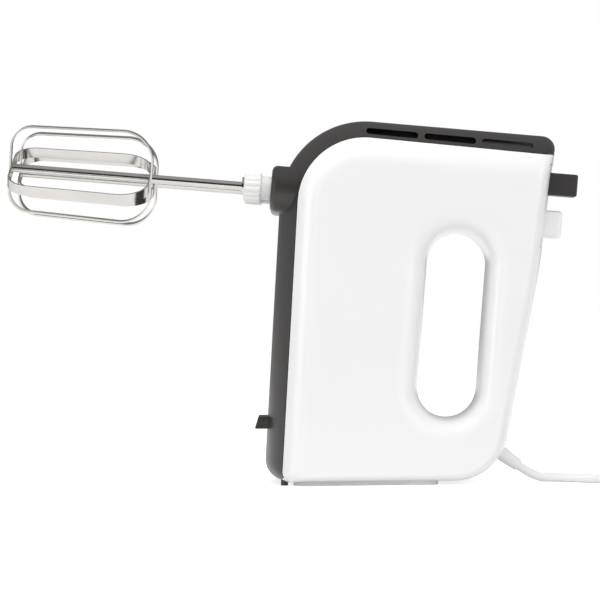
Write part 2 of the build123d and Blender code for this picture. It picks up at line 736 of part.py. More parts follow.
# Stator: laminated stack with the armature's bore and two coil windows
with BuildPart() as stator_core:
    with BuildSketch(motor_plane(STACK_BOTTOM)):
        RectangleRounded(STATOR_DEPTH, STATOR_WIDTH, STATOR_CORNER)
        Circle(ARMATURE_RADIUS + AIR_GAP, mode=Mode.SUBTRACT)
        window = WINDOW_OUTER - WINDOW_INNER
        window_middle = (WINDOW_OUTER + WINDOW_INNER) / 2
        with Locations((0, -window_middle), (0, window_middle)):
            Rectangle(2 * WINDOW_HALF, window, mode=Mode.SUBTRACT)
    extrude(amount=STACK_LENGTH)
save(stator_core, "stator_core")

# Field coils: one saddle for each pole, through both windows and over the ends of the stack
coil_width = WINDOW_OUTER - WINDOW_INNER - 2 * COIL_SLACK
coil_end = STATOR_DEPTH / 2 - COIL_SLACK
coil_bar = ARMATURE_RADIUS + AIR_GAP + COIL_SLACK
with BuildPart() as stator_coils:
    for pole in (-1, 1):
        legs = [(pole * COIL_SLACK, side * window_middle) for side in (-1, 1)]
        inward = (Align.MIN if pole > 0 else Align.MAX, Align.CENTER)
        with BuildSketch(motor_plane(STACK_BOTTOM)):
            with Locations(*legs):
                Rectangle(WINDOW_HALF - 2 * COIL_SLACK, coil_width, align=inward)
        extrude(amount=STACK_LENGTH)
        for base in (STACK_BOTTOM - COIL_RISE, STACK_TOP):
            with BuildSketch(motor_plane(base)):
                with Locations(*legs):
                    Rectangle(coil_end - COIL_SLACK, coil_width, align=inward)
                with Locations((pole * coil_end, 0)):
                    outward = (Align.MAX if pole > 0 else Align.MIN, Align.CENTER)
                    Rectangle(coil_end - coil_bar, 2 * (WINDOW_OUTER - COIL_SLACK), align=outward)
            extrude(amount=COIL_RISE)
save(stator_coils, "stator_coils")

# Rear bracket: carries the lower bearing and the brush holders, on pillars from the stator
with BuildPart() as rear_bracket:
    with BuildSketch(motor_plane(bracket_base)):
        reach = (2 * (PILLAR_REAR + PILLAR_RADIUS), 2 * (PILLAR_SIDE + PILLAR_RADIUS))
        RectangleRounded(*reach, PILLAR_RADIUS)
        Circle(BEARING_RADIUS + FIT, mode=Mode.SUBTRACT)
    extrude(amount=BRACKET_THICK)
    with BuildSketch(motor_plane(BRACKET_TOP)):
        with Locations(*pillars):
            Circle(PILLAR_RADIUS)
    extrude(amount=STACK_BOTTOM - BRACKET_TOP)
    with BuildSketch(motor_plane(BRACKET_TOP)):
        with Locations((0, -HOLDER_END), (0, HOLDER_END)):
            Rectangle(2 * HOLDER_HALF, 2 * HOLDER_HALF)
    extrude(amount=BRUSH_LEVEL - HOLDER_HALF - BRACKET_TOP)
save(rear_bracket, "rear_bracket")


def brush_plane(side, out):
    """Plane square to a brush: local x is rearward, z points out from the motor shaft."""
    return Plane(origin=head_point(0, side * out, BRUSH_LEVEL), x_dir=REARWARD, z_dir=FARWARD * side)


# Brush gear: holders, carbon brushes on the commutator and the springs behind them
holder_start = COMMUTATOR_RADIUS + HOLDER_WALL
brush_start = COMMUTATOR_RADIUS + RUN
brush_end = brush_start + BRUSH_LENGTH
with BuildPart() as brush_holders:
    for side in SIDES.values():
        with BuildSketch(brush_plane(side, holder_start)):
            Rectangle(2 * HOLDER_HALF, 2 * HOLDER_HALF)
        extrude(amount=HOLDER_END - holder_start)
        with BuildSketch(brush_plane(side, holder_start)):
            Rectangle(BRUSH_SIDE + 2 * FIT, BRUSH_SIDE + 2 * FIT)
        extrude(amount=HOLDER_END - HOLDER_WALL - holder_start, mode=Mode.SUBTRACT)
save(brush_holders, "brush_holders")
with BuildPart() as carbon_brushes:
    for side in SIDES.values():
        with BuildSketch(brush_plane(side, brush_start)):
            Rectangle(BRUSH_SIDE, BRUSH_SIDE)
        extrude(amount=BRUSH_LENGTH)
save(carbon_brushes, "carbon_brushes")


def spring_tube(plane, radius, wire, length, turns):
    """Coil spring along a plane's z: each half turn is a half circle tilted by half the pitch."""
    rise = (length - wire) / (2 * turns)
    half = math.hypot(radius, rise / 2)
    with BuildPart() as coil:
        with BuildLine(plane) as path:
            for i in range(2 * turns):
                way = 1 if i % 2 == 0 else -1
                low = wire / 2 + i * rise
                start = (way * radius, 0, low)
                middle = (0, way * half, low + rise / 2)
                ThreePointArc(start, middle, (-way * radius, 0, low + rise))
        with BuildSketch(Plane(origin=path.line @ 0, z_dir=path.line % 0)):
            Circle(wire / 2)
        sweep()
    return coil.part


spring_room = HOLDER_END - HOLDER_WALL - brush_end - 2 * TOUCH
with BuildPart() as brush_springs:
    for side in SIDES.values():
        radius = BRUSH_SIDE / 2 - BRUSH_WIRE
        seat = brush_plane(side, brush_end + TOUCH)
        add(spring_tube(seat, radius, BRUSH_WIRE, spring_room, BRUSH_SPRING_TURNS))
save(brush_springs, "brush_springs")

# Armature: slotted stack, end windings, commutator, fan and worm on one shaft
with BuildPart() as motor_shaft:
    with BuildSketch(motor_plane(SHAFT_BOTTOM)):
        Circle(SHAFT_RADIUS)
    extrude(amount=SHAFT_TOP - SHAFT_BOTTOM)
save(motor_shaft, "motor_shaft")
with BuildPart() as armature_core:
    with BuildSketch(motor_plane(STACK_BOTTOM)):
        Circle(ARMATURE_RADIUS)
        slot_length = 2 * (ARMATURE_RADIUS - WINDING_RADIUS)
        with PolarLocations(ARMATURE_RADIUS, ARMATURE_SLOTS):
            SlotOverall(slot_length, ARMATURE_RADIUS / ARMATURE_SLOTS, mode=Mode.SUBTRACT)
        Circle(SHAFT_RADIUS + FIT, mode=Mode.SUBTRACT)
    extrude(amount=STACK_LENGTH)
save(armature_core, "armature_core")
with BuildPart() as armature_winding:
    for base in (STACK_BOTTOM - WINDING_HEIGHT, STACK_TOP):
        with BuildSketch(motor_plane(base)):
            Circle(WINDING_RADIUS)
            Circle(SHAFT_RADIUS + FIT, mode=Mode.SUBTRACT)
        extrude(amount=WINDING_HEIGHT)
save(armature_winding, "armature_winding")
with BuildPart() as commutator:
    with BuildSketch(motor_plane(COMMUTATOR_TOP - COMMUTATOR_LENGTH)):
        Circle(COMMUTATOR_RADIUS)
        Circle(SHAFT_RADIUS + FIT, mode=Mode.SUBTRACT)
    extrude(amount=COMMUTATOR_LENGTH)
save(commutator, "commutator")
with BuildPart() as cooling_fan:
    with BuildSketch(motor_plane(FAN_TOP - FAN_HEIGHT)):
        Circle(BEARING_RADIUS)
    extrude(amount=FAN_HEIGHT)
    with BuildSketch(motor_plane(FAN_TOP - FAN_PLATE)):
        Circle(FAN_RADIUS)
    extrude(amount=FAN_PLATE)
    with BuildSketch(motor_plane(FAN_TOP - FAN_HEIGHT)):
        with PolarLocations((FAN_RADIUS + BEARING_RADIUS) / 2 - FAN_PLATE, FAN_BLADES):
            Rectangle(FAN_RADIUS - BEARING_RADIUS, FAN_PLATE)
    extrude(amount=FAN_HEIGHT)
    with BuildSketch(motor_plane(FAN_TOP - FAN_HEIGHT)):
        Circle(SHAFT_RADIUS + FIT)
    extrude(amount=FAN_HEIGHT, mode=Mode.SUBTRACT)
save(cooling_fan, "cooling_fan")

# Teeth: straight flanks at the pressure angle, thinned by the slack, as half thicknesses at tip and root
TOOTH_RISE = GEAR_MODULE
TOOTH_FALL = 1.25 * GEAR_MODULE
flank = math.tan(math.radians(PRESSURE_ANGLE))
pitch_half = (math.pi * GEAR_MODULE / 2 - TOOTH_SLACK) / 2
tip_half = pitch_half - TOOTH_RISE * flank
root_half = pitch_half + TOOTH_FALL * flank


def polar(radius, angle):
    """Point in a plane at a radius and an angle in radians."""
    return radius * math.cos(angle), radius * math.sin(angle)


# Worm: sections across the shaft, each turned by its height over the lead
worm_tip = WORM_PITCH_RADIUS + TOOTH_RISE
worm_root = WORM_PITCH_RADIUS - TOOTH_FALL
turn_per_mm = 2 * math.pi / WORM_LEAD
with BuildPart() as worm:
    for i in range(WORM_STEPS + 1):
        height = WORM_LENGTH * (i / WORM_STEPS - 0.5)
        with BuildSketch(motor_plane(height)):
            with BuildLine():
                for start in range(WORM_STARTS):
                    crest = height * turn_per_mm + 2 * math.pi * start / WORM_STARTS
                    follow = crest + 2 * math.pi / WORM_STARTS
                    tip = [polar(worm_tip, crest + k * tip_half * turn_per_mm) for k in (-1, 0, 1)]
                    root_from = crest + root_half * turn_per_mm
                    root_to = follow - root_half * turn_per_mm
                    root = [polar(worm_root, root_from + k * (root_to - root_from) / 2) for k in (0, 1, 2)]
                    ThreePointArc(*tip)
                    Line(tip[-1], root[0])
                    ThreePointArc(*root)
                    Line(root[-1], polar(worm_tip, follow - tip_half * turn_per_mm))
            make_face()
    loft(ruled=True)
    with BuildSketch(motor_plane(-WORM_LENGTH / 2)):
        Circle(SHAFT_RADIUS + FIT)
    extrude(amount=WORM_LENGTH, mode=Mode.SUBTRACT)
save(worm, "worm")

# Worm wheels: slanted teeth that follow the worm's thread, each on its own spindle
wheel_tip = WHEEL_PITCH_RADIUS + TOOTH_RISE
wheel_root = WHEEL_PITCH_RADIUS - TOOTH_FALL
slant = WORM_LEAD / (2 * math.pi * WORM_PITCH_RADIUS) / WHEEL_PITCH_RADIUS


def cage_loop(inset, wall):
    """Corners and radii of a strip loop, shortened by an inset and moved in by a wall: narrow at its tip."""
    half = CAGE_LENGTH / 2 - inset - wall
    tip = CAGE_TIP_HALF - wall
    shoulder = CAGE_SHOULDER_HALF - wall
    corners = [(-half, -tip), (half, -shoulder), (half, shoulder), (-half, tip)]
    tip_corner = CAGE_TIP_CORNER - wall
    shoulder_corner = CAGE_SHOULDER_CORNER - wall
    return corners, [tip_corner, shoulder_corner, shoulder_corner, tip_corner]


def wheel_outline(turn):
    """Tooth outline turned by an angle, with one tooth along local x."""
    rising = [(wheel_root, -root_half), (wheel_tip, -tip_half)]
    falling = [(wheel_tip, tip_half), (wheel_root, root_half)]
    points = []
    for tooth in range(WHEEL_TEETH):
        middle = turn + 2 * math.pi * tooth / WHEEL_TEETH
        points.extend(polar(radius, middle + half / radius) for radius, half in rising + falling)
    return points


for name, side in BEATERS.items():
    with BuildPart() as worm_wheel:
        for rear in (-WHEEL_FACE / 2, WHEEL_FACE / 2):
            with BuildSketch(axis_plane(rear, side)):
                with BuildLine():
                    Polyline(wheel_outline(rear * slant), close=True)
                make_face()
        loft(ruled=True)
        with BuildSketch(axis_plane(-WHEEL_FACE / 2, side)):
            Circle(SPINDLE_RADIUS + FIT)
        extrude(amount=WHEEL_FACE, mode=Mode.SUBTRACT)
    save(worm_wheel, f"worm_wheel_{name}")

    with BuildPart() as spindle:
        with BuildSketch(axis_plane(SPINDLE_FRONT, side)):
            Circle(SPINDLE_RADIUS)
        extrude(amount=SPINDLE_BACK - SPINDLE_FRONT)
        with BuildSketch(axis_plane(SPINDLE_FRONT, side)):
            Circle(ROD_RADIUS + RUN)
        extrude(amount=ROD_DEPTH - TAIL_LENGTH, mode=Mode.SUBTRACT)
        with BuildSketch(axis_plane(SPINDLE_FRONT, side)):
            Circle(ROD_RADIUS + RUN)
            Rectangle(4 * ROD_RADIUS, ROD_FLAT + 2 * RUN, mode=Mode.INTERSECT)
        extrude(amount=SPINDLE_BACK - SPINDLE_FRONT, mode=Mode.SUBTRACT)
    save(spindle, f"spindle_{name}")

    # Eject pin behind the beater, with a head for the yoke
    with BuildPart() as eject_pin:
        with BuildSketch(axis_plane(ROD_END + TOUCH, side)):
            Circle(EJECT_PIN_RADIUS)
        extrude(amount=EJECT_HEAD_FRONT - ROD_END - TOUCH)
        with BuildSketch(axis_plane(EJECT_HEAD_FRONT, side)):
            Circle(EJECT_HEAD_RADIUS)
        extrude(amount=EJECT_HEAD)
    save(eject_pin, f"eject_pin_{name}")

    # Beater: rod with flats at its tail, two crossed strip loops, flange and collar
    with BuildPart() as beater_rod:
        with BuildSketch(axis_plane(CAGE_TIP + 2 * STRIP_THICK + FIT, side)):
            Circle(ROD_RADIUS)
        extrude(amount=ROD_END - TAIL_LENGTH - TOUCH - CAGE_TIP - 2 * STRIP_THICK - FIT)
        with BuildSketch(axis_plane(ROD_END - TAIL_LENGTH - TOUCH, side)):
            Circle(ROD_RADIUS)
            Rectangle(4 * ROD_RADIUS, ROD_FLAT, mode=Mode.INTERSECT)
        extrude(amount=TAIL_LENGTH + TOUCH)
    save(beater_rod, f"beater_rod_{name}")

    upright_roll = math.radians(UPRIGHT_ROLL[name])
    level_roll = math.radians(LEVEL_ROLL)
    across = FARWARD * math.cos(upright_roll) + UPWARD * math.sin(upright_roll)
    above = UPWARD * math.cos(level_roll) - FARWARD * math.sin(level_roll)
    cage_centre = head_point(CAGE_START - CAGE_LENGTH / 2, side, 0)
    level_centre = cage_centre - above * LEVEL_SLIP[name]
    with BuildPart() as beater_strips:
        for centre, normal, inset in ((cage_centre, across, 0.0), (level_centre, above, STRIP_THICK)):
            with BuildSketch(Plane(origin=centre, x_dir=REARWARD, z_dir=normal)):
                for wall, mode in ((0.0, Mode.ADD), (STRIP_THICK, Mode.SUBTRACT)):
                    corners, radii = cage_loop(inset, wall)
                    with BuildLine():
                        FilletPolyline(corners, radius=radii, close=True)
                    make_face(mode=mode)
            extrude(amount=STRIP_WIDTH / 2, both=True)
        with BuildSketch(axis_plane(CAGE_START - CAGE_LENGTH / 2, side)):
            Circle(ROD_RADIUS + FIT)
        extrude(amount=CAGE_LENGTH, mode=Mode.SUBTRACT)
    save(beater_strips, f"beater_strips_{name}")

    with BuildPart() as beater_flange:
        with BuildSketch(axis_plane(FLANGE_FRONT, side)):
            Circle(FLANGE_RADIUS)
            Circle(ROD_RADIUS + FIT, mode=Mode.SUBTRACT)
        extrude(amount=FLANGE_THICK)
    save(beater_flange, f"beater_flange_{name}")

    with BuildPart() as beater_collar:
        with BuildSketch(axis_plane(RING_FRONT, side)):
            Circle(RING_RADIUS if name == "front" else PLAIN_RING_RADIUS)
            if name == "front":
                with PolarLocations(RING_RADIUS, RING_TEETH):
                    notch = math.pi * RING_RADIUS / RING_TEETH
                    Rectangle(2 * RING_TOOTH_DEPTH, notch / 2, mode=Mode.SUBTRACT)
        extrude(amount=RING_LENGTH)
        with BuildSketch(axis_plane(COLLAR_FACE - NECK_SHOW, side)):
            Circle(NECK_RADIUS)
        extrude(amount=NECK_SHOW + NECK_INSERT)
        with BuildSketch(axis_plane(RING_FRONT, side)):
            Circle(ROD_RADIUS + FIT)
        extrude(amount=RING_LENGTH + NECK_SHOW + NECK_INSERT, mode=Mode.SUBTRACT)
    save(beater_collar, f"beater_collar_{name}")

# Eject yoke: bar behind both pins, with a spine back to a pad behind the knob
pad_half_height = KNOB_HEIGHT / 2 - RUN
with BuildPart() as eject_yoke:
    with BuildSketch(axis_plane(YOKE_FRONT)):
        Rectangle(2 * (BEATER_SIDE + EJECT_HEAD_RADIUS), 2 * YOKE_HALF_HEIGHT)
    extrude(amount=YOKE_BAR)
    side_plane = Plane(origin=GEAR_CENTRE, x_dir=REARWARD, z_dir=-FARWARD)
    with BuildSketch(side_plane):
        with BuildLine():
            Polyline(
                (YOKE_FRONT, -YOKE_HALF_HEIGHT),
                (YOKE_KNEE, -YOKE_HALF_HEIGHT),
                (YOKE_SHOULDER, KNOB_UP - pad_half_height),
                (YOKE_END, KNOB_UP - pad_half_height),
                (YOKE_END, KNOB_UP + pad_half_height),
                (YOKE_SHOULDER, KNOB_UP + pad_half_height),
                (YOKE_KNEE, YOKE_HALF_HEIGHT),
                (YOKE_FRONT, YOKE_HALF_HEIGHT),
                close=True,
            )
        make_face()
    extrude(amount=YOKE_HALF_THICK, both=True)
    with BuildSketch(axis_plane(YOKE_END - YOKE_BAR / 2, 0, KNOB_UP)):
        Rectangle(2 * YOKE_PAD_HALF, 2 * pad_half_height)
    extrude(amount=YOKE_BAR / 2)
save(eject_yoke, "eject_yoke")

eject_room = YOKE_FRONT - FRAME_BACK - 2 * TOUCH
with BuildPart() as eject_spring:
    seat = axis_plane(FRAME_BACK + TOUCH)
    add(spring_tube(seat, EJECT_SPRING_RADIUS, SPRING_WIRE, eject_room, EJECT_SPRING_TURNS))
save(eject_spring, "eject_spring")

# Speed slide: a carriage on the panel's rails, with the knob through it
with BuildPart() as selector_carriage:
    with BuildSketch(axis_plane(KNOB_TAIL, KNOB_REST_Y, KNOB_UP)):
        Rectangle(CARRIAGE_WIDTH, KNOB_HEIGHT + 2 * CARRIAGE_RIM)
        Rectangle(KNOB_WIDTH + 2 * RUN, KNOB_HEIGHT + 2 * RUN, mode=Mode.SUBTRACT)
    extrude(amount=CARRIAGE_BACK - KNOB_TAIL)
save(selector_carriage, "selector_carriage")
with BuildPart() as selector_knob:
    with BuildSketch(axis_plane(KNOB_TAIL, KNOB_REST_Y, KNOB_UP)):
        Rectangle(KNOB_WIDTH, KNOB_HEIGHT)
    extrude(amount=KNOB_END - KNOB_TAIL)
    fillet(selector_knob.faces().sort_by(Axis(GEAR_CENTRE, REARWARD))[-1].edges(), KNOB_EDGE)
save(selector_knob, "selector_knob")
with BuildPart() as speed_switch:
    with BuildSketch(axis_plane(SPEED_BACK - SPEED_SWITCH_LENGTH, 0, SPEED_UP)):
        Rectangle(2 * SPEED_SWITCH_HALF, SPEED_SWITCH_HEIGHT)
    extrude(amount=SPEED_SWITCH_LENGTH)
save(speed_switch, "speed_switch")

# Turbo button, its spring and its switch
with BuildPart() as turbo_button:
    with BuildSketch(axis_plane(BUTTON_TAIL, 0, BUTTON_UP)):
        RectangleRounded(BUTTON_WIDTH, BUTTON_HEIGHT, BUTTON_EDGE)
    extrude(amount=BUTTON_END - BUTTON_TAIL)
    fillet(turbo_button.faces().sort_by(Axis(GEAR_CENTRE, REARWARD))[-1].edges(), BUTTON_EDGE)
save(turbo_button, "turbo_button")
button_room = BUTTON_SPRING_LENGTH - 2 * TOUCH
with BuildPart() as turbo_spring:
    spring_base = axis_plane(TURBO_BACK + TOUCH, 0, BUTTON_UP)
    add(spring_tube(spring_base, BUTTON_SPRING_RADIUS, SPRING_WIRE, button_room, BUTTON_SPRING_TURNS))
save(turbo_spring, "turbo_spring")
with BuildPart() as turbo_switch:
    with BuildSketch(axis_plane(TURBO_BACK - TURBO_SWITCH_LENGTH, 0, BUTTON_UP)):
        Rectangle(2 * TURBO_SWITCH_HALF, TURBO_SWITCH_HEIGHT)
    extrude(amount=TURBO_SWITCH_LENGTH)
save(turbo_switch, "turbo_switch")

# Electrics in the heel: board with its terminal block, capacitor, lead and cord clamp
board_top = BOARD_Z + BOARD_THICK
with BuildPart() as circuit_board:
    with Locations((BOARD_FRONT_X, 0, BOARD_Z)):
        board_length = BOARD_BACK_X - BOARD_FRONT_X
        Box(board_length, 2 * BOARD_HALF, BOARD_THICK, align=(Align.MIN, Align.CENTER, Align.MIN))
    with Locations((BOARD_BACK_X, 0, board_top)):
        terminal = (TERMINAL_LENGTH, TERMINAL_WIDTH, TERMINAL_HEIGHT)
        Box(*terminal, align=(Align.MAX, Align.CENTER, Align.MIN))
save(circuit_board, "circuit_board")
with BuildPart() as filter_capacitor:
    with Locations((CAPACITOR_X, 0, board_top)):
        block = (CAPACITOR_LENGTH, CAPACITOR_WIDTH, CAPACITOR_HEIGHT)
        Box(*block, align=(Align.CENTER, Align.CENTER, Align.MIN))
    fillet(filter_capacitor.edges().filter_by(Axis.Z), PAD_CORNER / 4)
save(filter_capacitor, "filter_capacitor")
with BuildPart() as cord_clamp:
    with Locations((CLAMP_X, 0, LEAD_Z)):
        Box(CLAMP_LENGTH, 2 * CLAMP_HALF, 2 * (CORD_RADIUS + CLAMP_RIM))
        Cylinder(CORD_RADIUS + FIT, CLAMP_LENGTH, rotation=(0, 90, 0), mode=Mode.SUBTRACT)
save(cord_clamp, "cord_clamp")

# Strain relief: tapered moulding through the wall, with an anchor inside
guard_end = GUARD_LENGTH + GUARD_ANCHOR + GUARD_TAIL
with BuildPart() as cord_guard:
    with BuildSketch(guard_plane(0)):
        Circle(GUARD_END_RADIUS)
    with BuildSketch(guard_plane(GUARD_LENGTH)):
        Circle(GUARD_ROOT_RADIUS)
    loft()
    with BuildSketch(guard_plane(GUARD_LENGTH)):
        Circle(GUARD_ANCHOR_RADIUS)
    extrude(amount=GUARD_ANCHOR)
    with BuildSketch(guard_plane(GUARD_LENGTH + GUARD_ANCHOR)):
        Circle(GUARD_END_RADIUS)
    extrude(amount=GUARD_TAIL)
save(cord_guard, "cord_guard")


def cord_tube(points, name):
    """Round cord along straight runs joined by arcs as large as the runs allow."""
    points = [Vector(*point) for point in points]
    runs = [end - start for start, end in zip(points, points[1:])]
    radii = []
    for before, after in zip(runs, runs[1:]):
        half_turn = math.radians(before.get_angle(after)) / 2
        radii.append(0.45 * min(before.length, after.length) / math.tan(half_turn))
    with BuildPart() as tube:
        with BuildLine() as path:
            FilletPolyline(points, radius=radii)
        with BuildSketch(Plane(origin=path.line @ 0, z_dir=path.line % 0)):
            Circle(CORD_RADIUS)
        sweep()
    section = math.pi * CORD_RADIUS**2
    length = path.wire().length
    print(name, "length", round(length, 1), "radii", [round(radius, 1) for radius in radii])
    print(name, "volume over section times length", round(tube.part.volume / section / length, 4))
    return tube


# Lead inside the heel, from the strain relief to the terminal block
lead_start = GUARD_EXIT + GUARD_AXIS * guard_end
lead_bend = lead_start + GUARD_AXIS * ((LEAD_Z - lead_start.Z) / GUARD_AXIS.Z)
inner_lead = cord_tube([tuple(lead_start), tuple(lead_bend), (BOARD_BACK_X, 0, LEAD_Z)], "inner_lead")
save(inner_lead, "inner_lead")

# Free cord over the surface, from the strain relief to the coil
CORD_DIAMETER = 2 * CORD_RADIUS
coil_start = (COIL_X - CORD_DIAMETER, COIL_Y, COIL_Z)
cord_foot = GUARD_EXIT - GUARD_AXIS * ((GUARD_EXIT_Z - CORD_REST_Z) / GUARD_AXIS.Z)
cord_free = cord_tube([tuple(GUARD_EXIT), tuple(cord_foot)] + CORD_ROUTE + [coil_start], "cord_free")
save(cord_free, "cord_free")

# Put-away coil: half circles that tighten, climb a layer at the middle and widen again
tighten = [COIL_FIRST_RADIUS - i * COIL_STEP for i in range(COIL_HALF_TURNS)]
climb = COIL_FIRST_RADIUS - COIL_HALF_TURNS * COIL_STEP
widen = [climb + (i + 1) * COIL_STEP for i in range(COIL_HALF_TURNS - 1)]
half_turns = [(r, 0.0) for r in tighten] + [(climb, COIL_RISE_STEP)] + [(r, 0.0) for r in widen]
with BuildPart() as cord_coil:
    with BuildLine() as coil_path:
        place = Vector(COIL_X, COIL_Y, COIL_Z)
        Line(coil_start, place)
        way = 1
        for radius, rise in half_turns:
            reach = Vector(0, 2 * way * radius, rise)
            middle = place + reach / 2 + Vector(way * reach.length / 2, 0, 0)
            ThreePointArc(place, middle, place + reach)
            place = place + reach
            way = -way
        coil_end_point = place + Vector(CORD_DIAMETER, 0, 0)
        Line(place, coil_end_point)
    with BuildSketch(Plane(origin=coil_path.line @ 0, z_dir=coil_path.line % 0)):
        Circle(CORD_RADIUS)
    sweep()
save(cord_coil, "cord_coil")
coil_wire = coil_path.wire()
coil_length = coil_wire.length
SAMPLE = 2.0
spots = [coil_wire.position_at(i * SAMPLE / coil_length) for i in range(int(coil_length / SAMPLE) + 1)]
skip = int(3 * CORD_DIAMETER / SAMPLE)
least = min((a - b).length for i, a in enumerate(spots) for b in spots[i + skip :])
print("cord_coil length", round(coil_length, 1), "least gap to itself", round(least - CORD_DIAMETER, 3))
coil_share = cord_coil.part.volume / (math.pi * CORD_RADIUS**2) / coil_length
print("cord_coil volume over section times length", round(coil_share, 4))

# Tail of the cord into the plug
cord_tail = cord_tube([tuple(coil_end_point)] + TAIL_ROUTE + [(PLUG_X, PLUG_Y, PLUG_Z)], "cord_tail")
save(cord_tail, "cord_tail")

# Tie round both layers of the coil, on the side nearest the mixer
tie_outer_radius = COIL_FIRST_RADIUS - COIL_STEP + CORD_RADIUS + TIE_CLEAR
tie_inner_radius = climb + COIL_STEP - CORD_RADIUS - TIE_CLEAR - TIE_BOW
tie_base = COIL_Z - CORD_RADIUS - TIE_CLEAR
tie_height = COIL_RISE_STEP + 2 * (CORD_RADIUS + TIE_CLEAR)
tie_width = tie_outer_radius - tie_inner_radius
tie_middle = COIL_Y + COIL_FIRST_RADIUS + COIL_STEP / 2
with BuildPart() as cord_tie:
    with Locations((COIL_X - tie_outer_radius + tie_width / 2, tie_middle, tie_base + tie_height / 2)):
        Box(tie_width + 2 * TIE_THICK, 2 * TIE_HALF_WIDTH, tie_height + 2 * TIE_THICK)
        Box(tie_width, 2 * TIE_HALF_WIDTH, tie_height, mode=Mode.SUBTRACT)
save(cord_tie, "cord_tie")

# Flat two-pin plug, lying beside the coil
plug_end = PLUG_X + PLUG_LENGTH
pin_places = [PLUG_Y - PIN_SPACING / 2, PLUG_Y + PIN_SPACING / 2]
with BuildPart() as plug_body:
    with BuildSketch(Plane.XY.offset(PLUG_Z - PLUG_THICK / 2)):
        with BuildLine():
            Polyline(
                (PLUG_X, PLUG_Y - PLUG_NECK_WIDTH / 2),
                (plug_end - PLUG_FACE, PLUG_Y - PLUG_WIDTH / 2),
                (plug_end, PLUG_Y - PLUG_WIDTH / 2),
                (plug_end, PLUG_Y + PLUG_WIDTH / 2),
                (plug_end - PLUG_FACE, PLUG_Y + PLUG_WIDTH / 2),
                (PLUG_X, PLUG_Y + PLUG_NECK_WIDTH / 2),
                close=True,
            )
        make_face()
    extrude(amount=PLUG_THICK)
    fillet(plug_body.edges().filter_by(Axis.Z), PLUG_EDGE)
    fillet(plug_body.faces().filter_by(Axis.Z).edges(), PLUG_EDGE)
    with BuildSketch(Plane.YZ.offset(plug_end - PIN_SEAT)):
        with Locations(*[(y, PLUG_Z) for y in pin_places]):
            Circle(PIN_ROOT_RADIUS + FIT)
    extrude(amount=PIN_SEAT, mode=Mode.SUBTRACT)
save(plug_body, "plug_body")
with BuildPart() as plug_pins:
    with BuildSketch(Plane.YZ.offset(plug_end - PIN_SEAT)):
        with Locations(*[(y, PLUG_Z) for y in pin_places]):
            Circle(PIN_ROOT_RADIUS)
    extrude(amount=PIN_SEAT)
    with BuildSketch(Plane.YZ.offset(plug_end)):
        with Locations(*[(y, PLUG_Z) for y in pin_places]):
            Circle(PIN_RADIUS)
    extrude(amount=PIN_LENGTH)
save(plug_pins, "plug_pins")
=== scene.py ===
import json

import bpy
import numpy as np
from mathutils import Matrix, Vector


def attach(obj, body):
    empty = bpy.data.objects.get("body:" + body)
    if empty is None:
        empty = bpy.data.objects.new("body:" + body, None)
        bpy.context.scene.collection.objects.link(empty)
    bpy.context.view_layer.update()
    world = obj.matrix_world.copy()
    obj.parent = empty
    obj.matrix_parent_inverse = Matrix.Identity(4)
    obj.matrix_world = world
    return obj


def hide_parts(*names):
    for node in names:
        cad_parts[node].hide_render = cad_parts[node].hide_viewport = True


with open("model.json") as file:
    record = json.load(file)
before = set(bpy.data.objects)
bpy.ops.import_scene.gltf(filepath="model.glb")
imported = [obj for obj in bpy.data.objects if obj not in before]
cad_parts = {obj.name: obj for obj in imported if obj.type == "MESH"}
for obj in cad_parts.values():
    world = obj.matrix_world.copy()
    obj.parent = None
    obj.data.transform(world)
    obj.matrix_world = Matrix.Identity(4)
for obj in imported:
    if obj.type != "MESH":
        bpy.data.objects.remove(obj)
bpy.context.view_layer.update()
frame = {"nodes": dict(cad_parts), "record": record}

# The room: a pale light table with two side panels, and a large soft light above and a low fill that
# no surface mirrors, as a catalogue picture is lit. The table stays white to the camera.
TABLE_HALF = 6.0
TABLE_FRONT = -0.62
TABLE_SHADE = (0.80, 0.80, 0.80, 1.0)
TABLE_GLOW = 0.70
TABLE_LIGHT = 0.02
ROOM_FRONT = (0.0, -1.0, 0.0)
ROOM_LEVELS = ((0.02, 0.26), (0.42, 0.60), (0.86, 0.60), (0.975, 0.05))
WHITE = (1.0, 1.0, 1.0, 1.0)


def link_nodes(tree, *pairs):
    """Joins sockets in a node tree: each pair is an output socket and an input socket."""
    for source, target in pairs:
        tree.links.new(source, target)


table_mesh = bpy.data.meshes.new("table")
corners = [(-TABLE_HALF, TABLE_FRONT, 0), (TABLE_HALF, TABLE_FRONT, 0), (TABLE_HALF, TABLE_HALF, 0)]
table_mesh.from_pydata(corners + [(-TABLE_HALF, TABLE_HALF, 0)], [], [(0, 1, 2, 3)])
table = bpy.data.objects.new("table", table_mesh)
bpy.context.scene.collection.objects.link(table)

